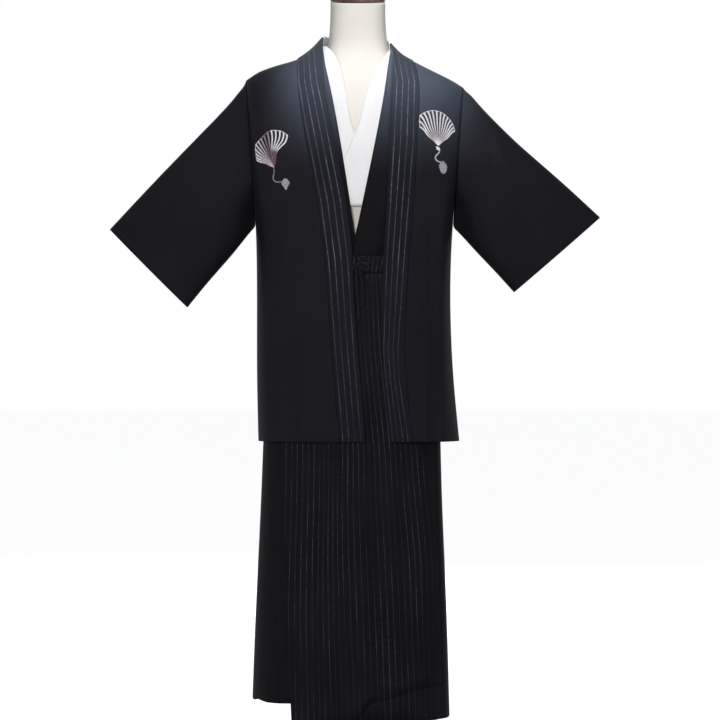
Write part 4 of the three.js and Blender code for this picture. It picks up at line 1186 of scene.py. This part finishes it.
CUTS = {
    "jacket_front_right": {"flat": (0.25, 0.86), "area": 0.164, "held": "hung"},
    "jacket_front_left": {"flat": (0.20, 0.86), "area": 0.125, "held": "hung"},
    "jacket_back": {"flat": (0.56, 0.86), "area": 0.427, "held": "hung"},
    "jacket_sleeve_right": {"flat": (0.47, 0.41), "area": 0.166, "held": "hung"},
    "jacket_sleeve_left": {"flat": (0.46, 0.40), "area": 0.153, "held": "hung"},
    "collar_band_right": {"flat": (0.068, 0.87), "area": 0.0527, "held": "hung"},
    "collar_band_left": {"flat": (0.066, 0.86), "area": 0.0482, "held": "hung"},
    "collar_band_back": {"flat": (0.066, 0.33), "area": 0.0189, "held": "hung"},
    "wrap_top_front_right": {"flat": (0.30, 0.56), "area": 0.101, "held": "draped"},
    "wrap_top_front_left": {"flat": (0.30, 0.56), "area": 0.099, "held": "draped"},
    "wrap_top_back": {"flat": (0.46, 0.50), "area": 0.196, "held": "draped"},
    "inner_collar_right": {"flat": (0.13, 0.38), "area": 0.0318, "held": "draped"},
    "inner_collar_left": {"flat": (0.13, 0.38), "area": 0.0296, "held": "draped"},
    "inner_collar_back": {"flat": (0.028, 0.18), "area": 0.0046, "held": "draped"},
    "skirt_front": {"flat": (0.42, 0.96), "area": 0.309, "held": "gathered"},
    "skirt_lap": {"flat": (0.36, 0.93), "area": 0.275, "held": "gathered"},
    "skirt_back": {"flat": (0.86, 0.94), "area": 0.690, "held": "gathered"},
    "skirt_waist": {"flat": (0.93, 0.036), "area": 0.0309, "held": "gathered"},
}
for node, cut in CUTS.items():
    print(node, cut["flat"], "measured", round(wall_area(panels[node]), 4), "square metres")

# %% [markdown]
# ## Floor and light
#
# A pale floor and a bright even room. A small lamp overhead lights the shoulders and falls off down the
# front. Two broad lamps, one near the camera and one behind the back, fill the black cloth evenly. They
# are kept out of reflections, so that the cloth shows its weave and not a bright patch.

# %% Floor
floor_mesh = bmesh.new()
bmesh.ops.create_circle(floor_mesh, cap_ends=True, segments=64, radius=40)
mesh = bpy.data.meshes.new("floor")
floor_mesh.to_mesh(mesh)
floor_mesh.free()
floor = link("floor", mesh)
pale = Finish("pale_floor")
pale.set(Base_Color=(0.9, 0.9, 0.9, 1), Roughness=0.9, Specular_IOR_Level=0.0,
         Emission_Color=(1, 1, 1, 1), Emission_Strength=0.8)
mesh.materials.append(pale.material)
floor.visible_diffuse = floor.visible_glossy = False

# %% Room
world = bpy.data.worlds.new("room")
world.use_nodes = True
tree = world.node_tree
dim = tree.nodes["Background"]
dim.inputs["Color"].default_value = (0.93, 0.95, 1, 1)
dim.inputs["Strength"].default_value = 0.2
backdrop = tree.nodes.new("ShaderNodeBackground")
backdrop.inputs["Color"].default_value = (1, 1, 1, 1)
backdrop.inputs["Strength"].default_value = 1.0
seen = tree.nodes.new("ShaderNodeLightPath")
either = tree.nodes.new("ShaderNodeMixShader")
tree.links.new(seen.outputs["Is Camera Ray"], either.inputs[0])
tree.links.new(dim.outputs[0], either.inputs[1])
tree.links.new(backdrop.outputs[0], either.inputs[2])
tree.links.new(either.outputs[0], tree.nodes["World Output"].inputs["Surface"])
scene.world = world
print("room: white to the camera, dim as light")


# %% Lamps
def lamp(name, place, target, size, power, spread=180):
    data = bpy.data.lights.new(name, "AREA")
    data.shape = "DISK"
    data.spread = math.radians(spread)
    data.size = size
    data.energy = power
    made = bpy.data.objects.new(name, data)
    made.location = place
    made.rotation_euler = (Vector(target) - Vector(place)).to_track_quat("-Z", "Y").to_euler()
    scene.collection.objects.link(made)
    return made


lamp("key_lamp", (0.2, -0.85, 2.75), (0.02, -0.02, 1.42), 0.3, 0.6, spread=28)
fill = lamp("front_lamp", (-0.5, -5.2, 1.3), (0, 0, 1.0), 1.2, 188)
behind = lamp("back_lamp", (1.0, 5.2, 1.9), (0, 0, 1.0), 1.2, 110)
fill.visible_glossy = behind.visible_glossy = False
scene.view_settings.view_transform = "Standard"
print("lamps placed")
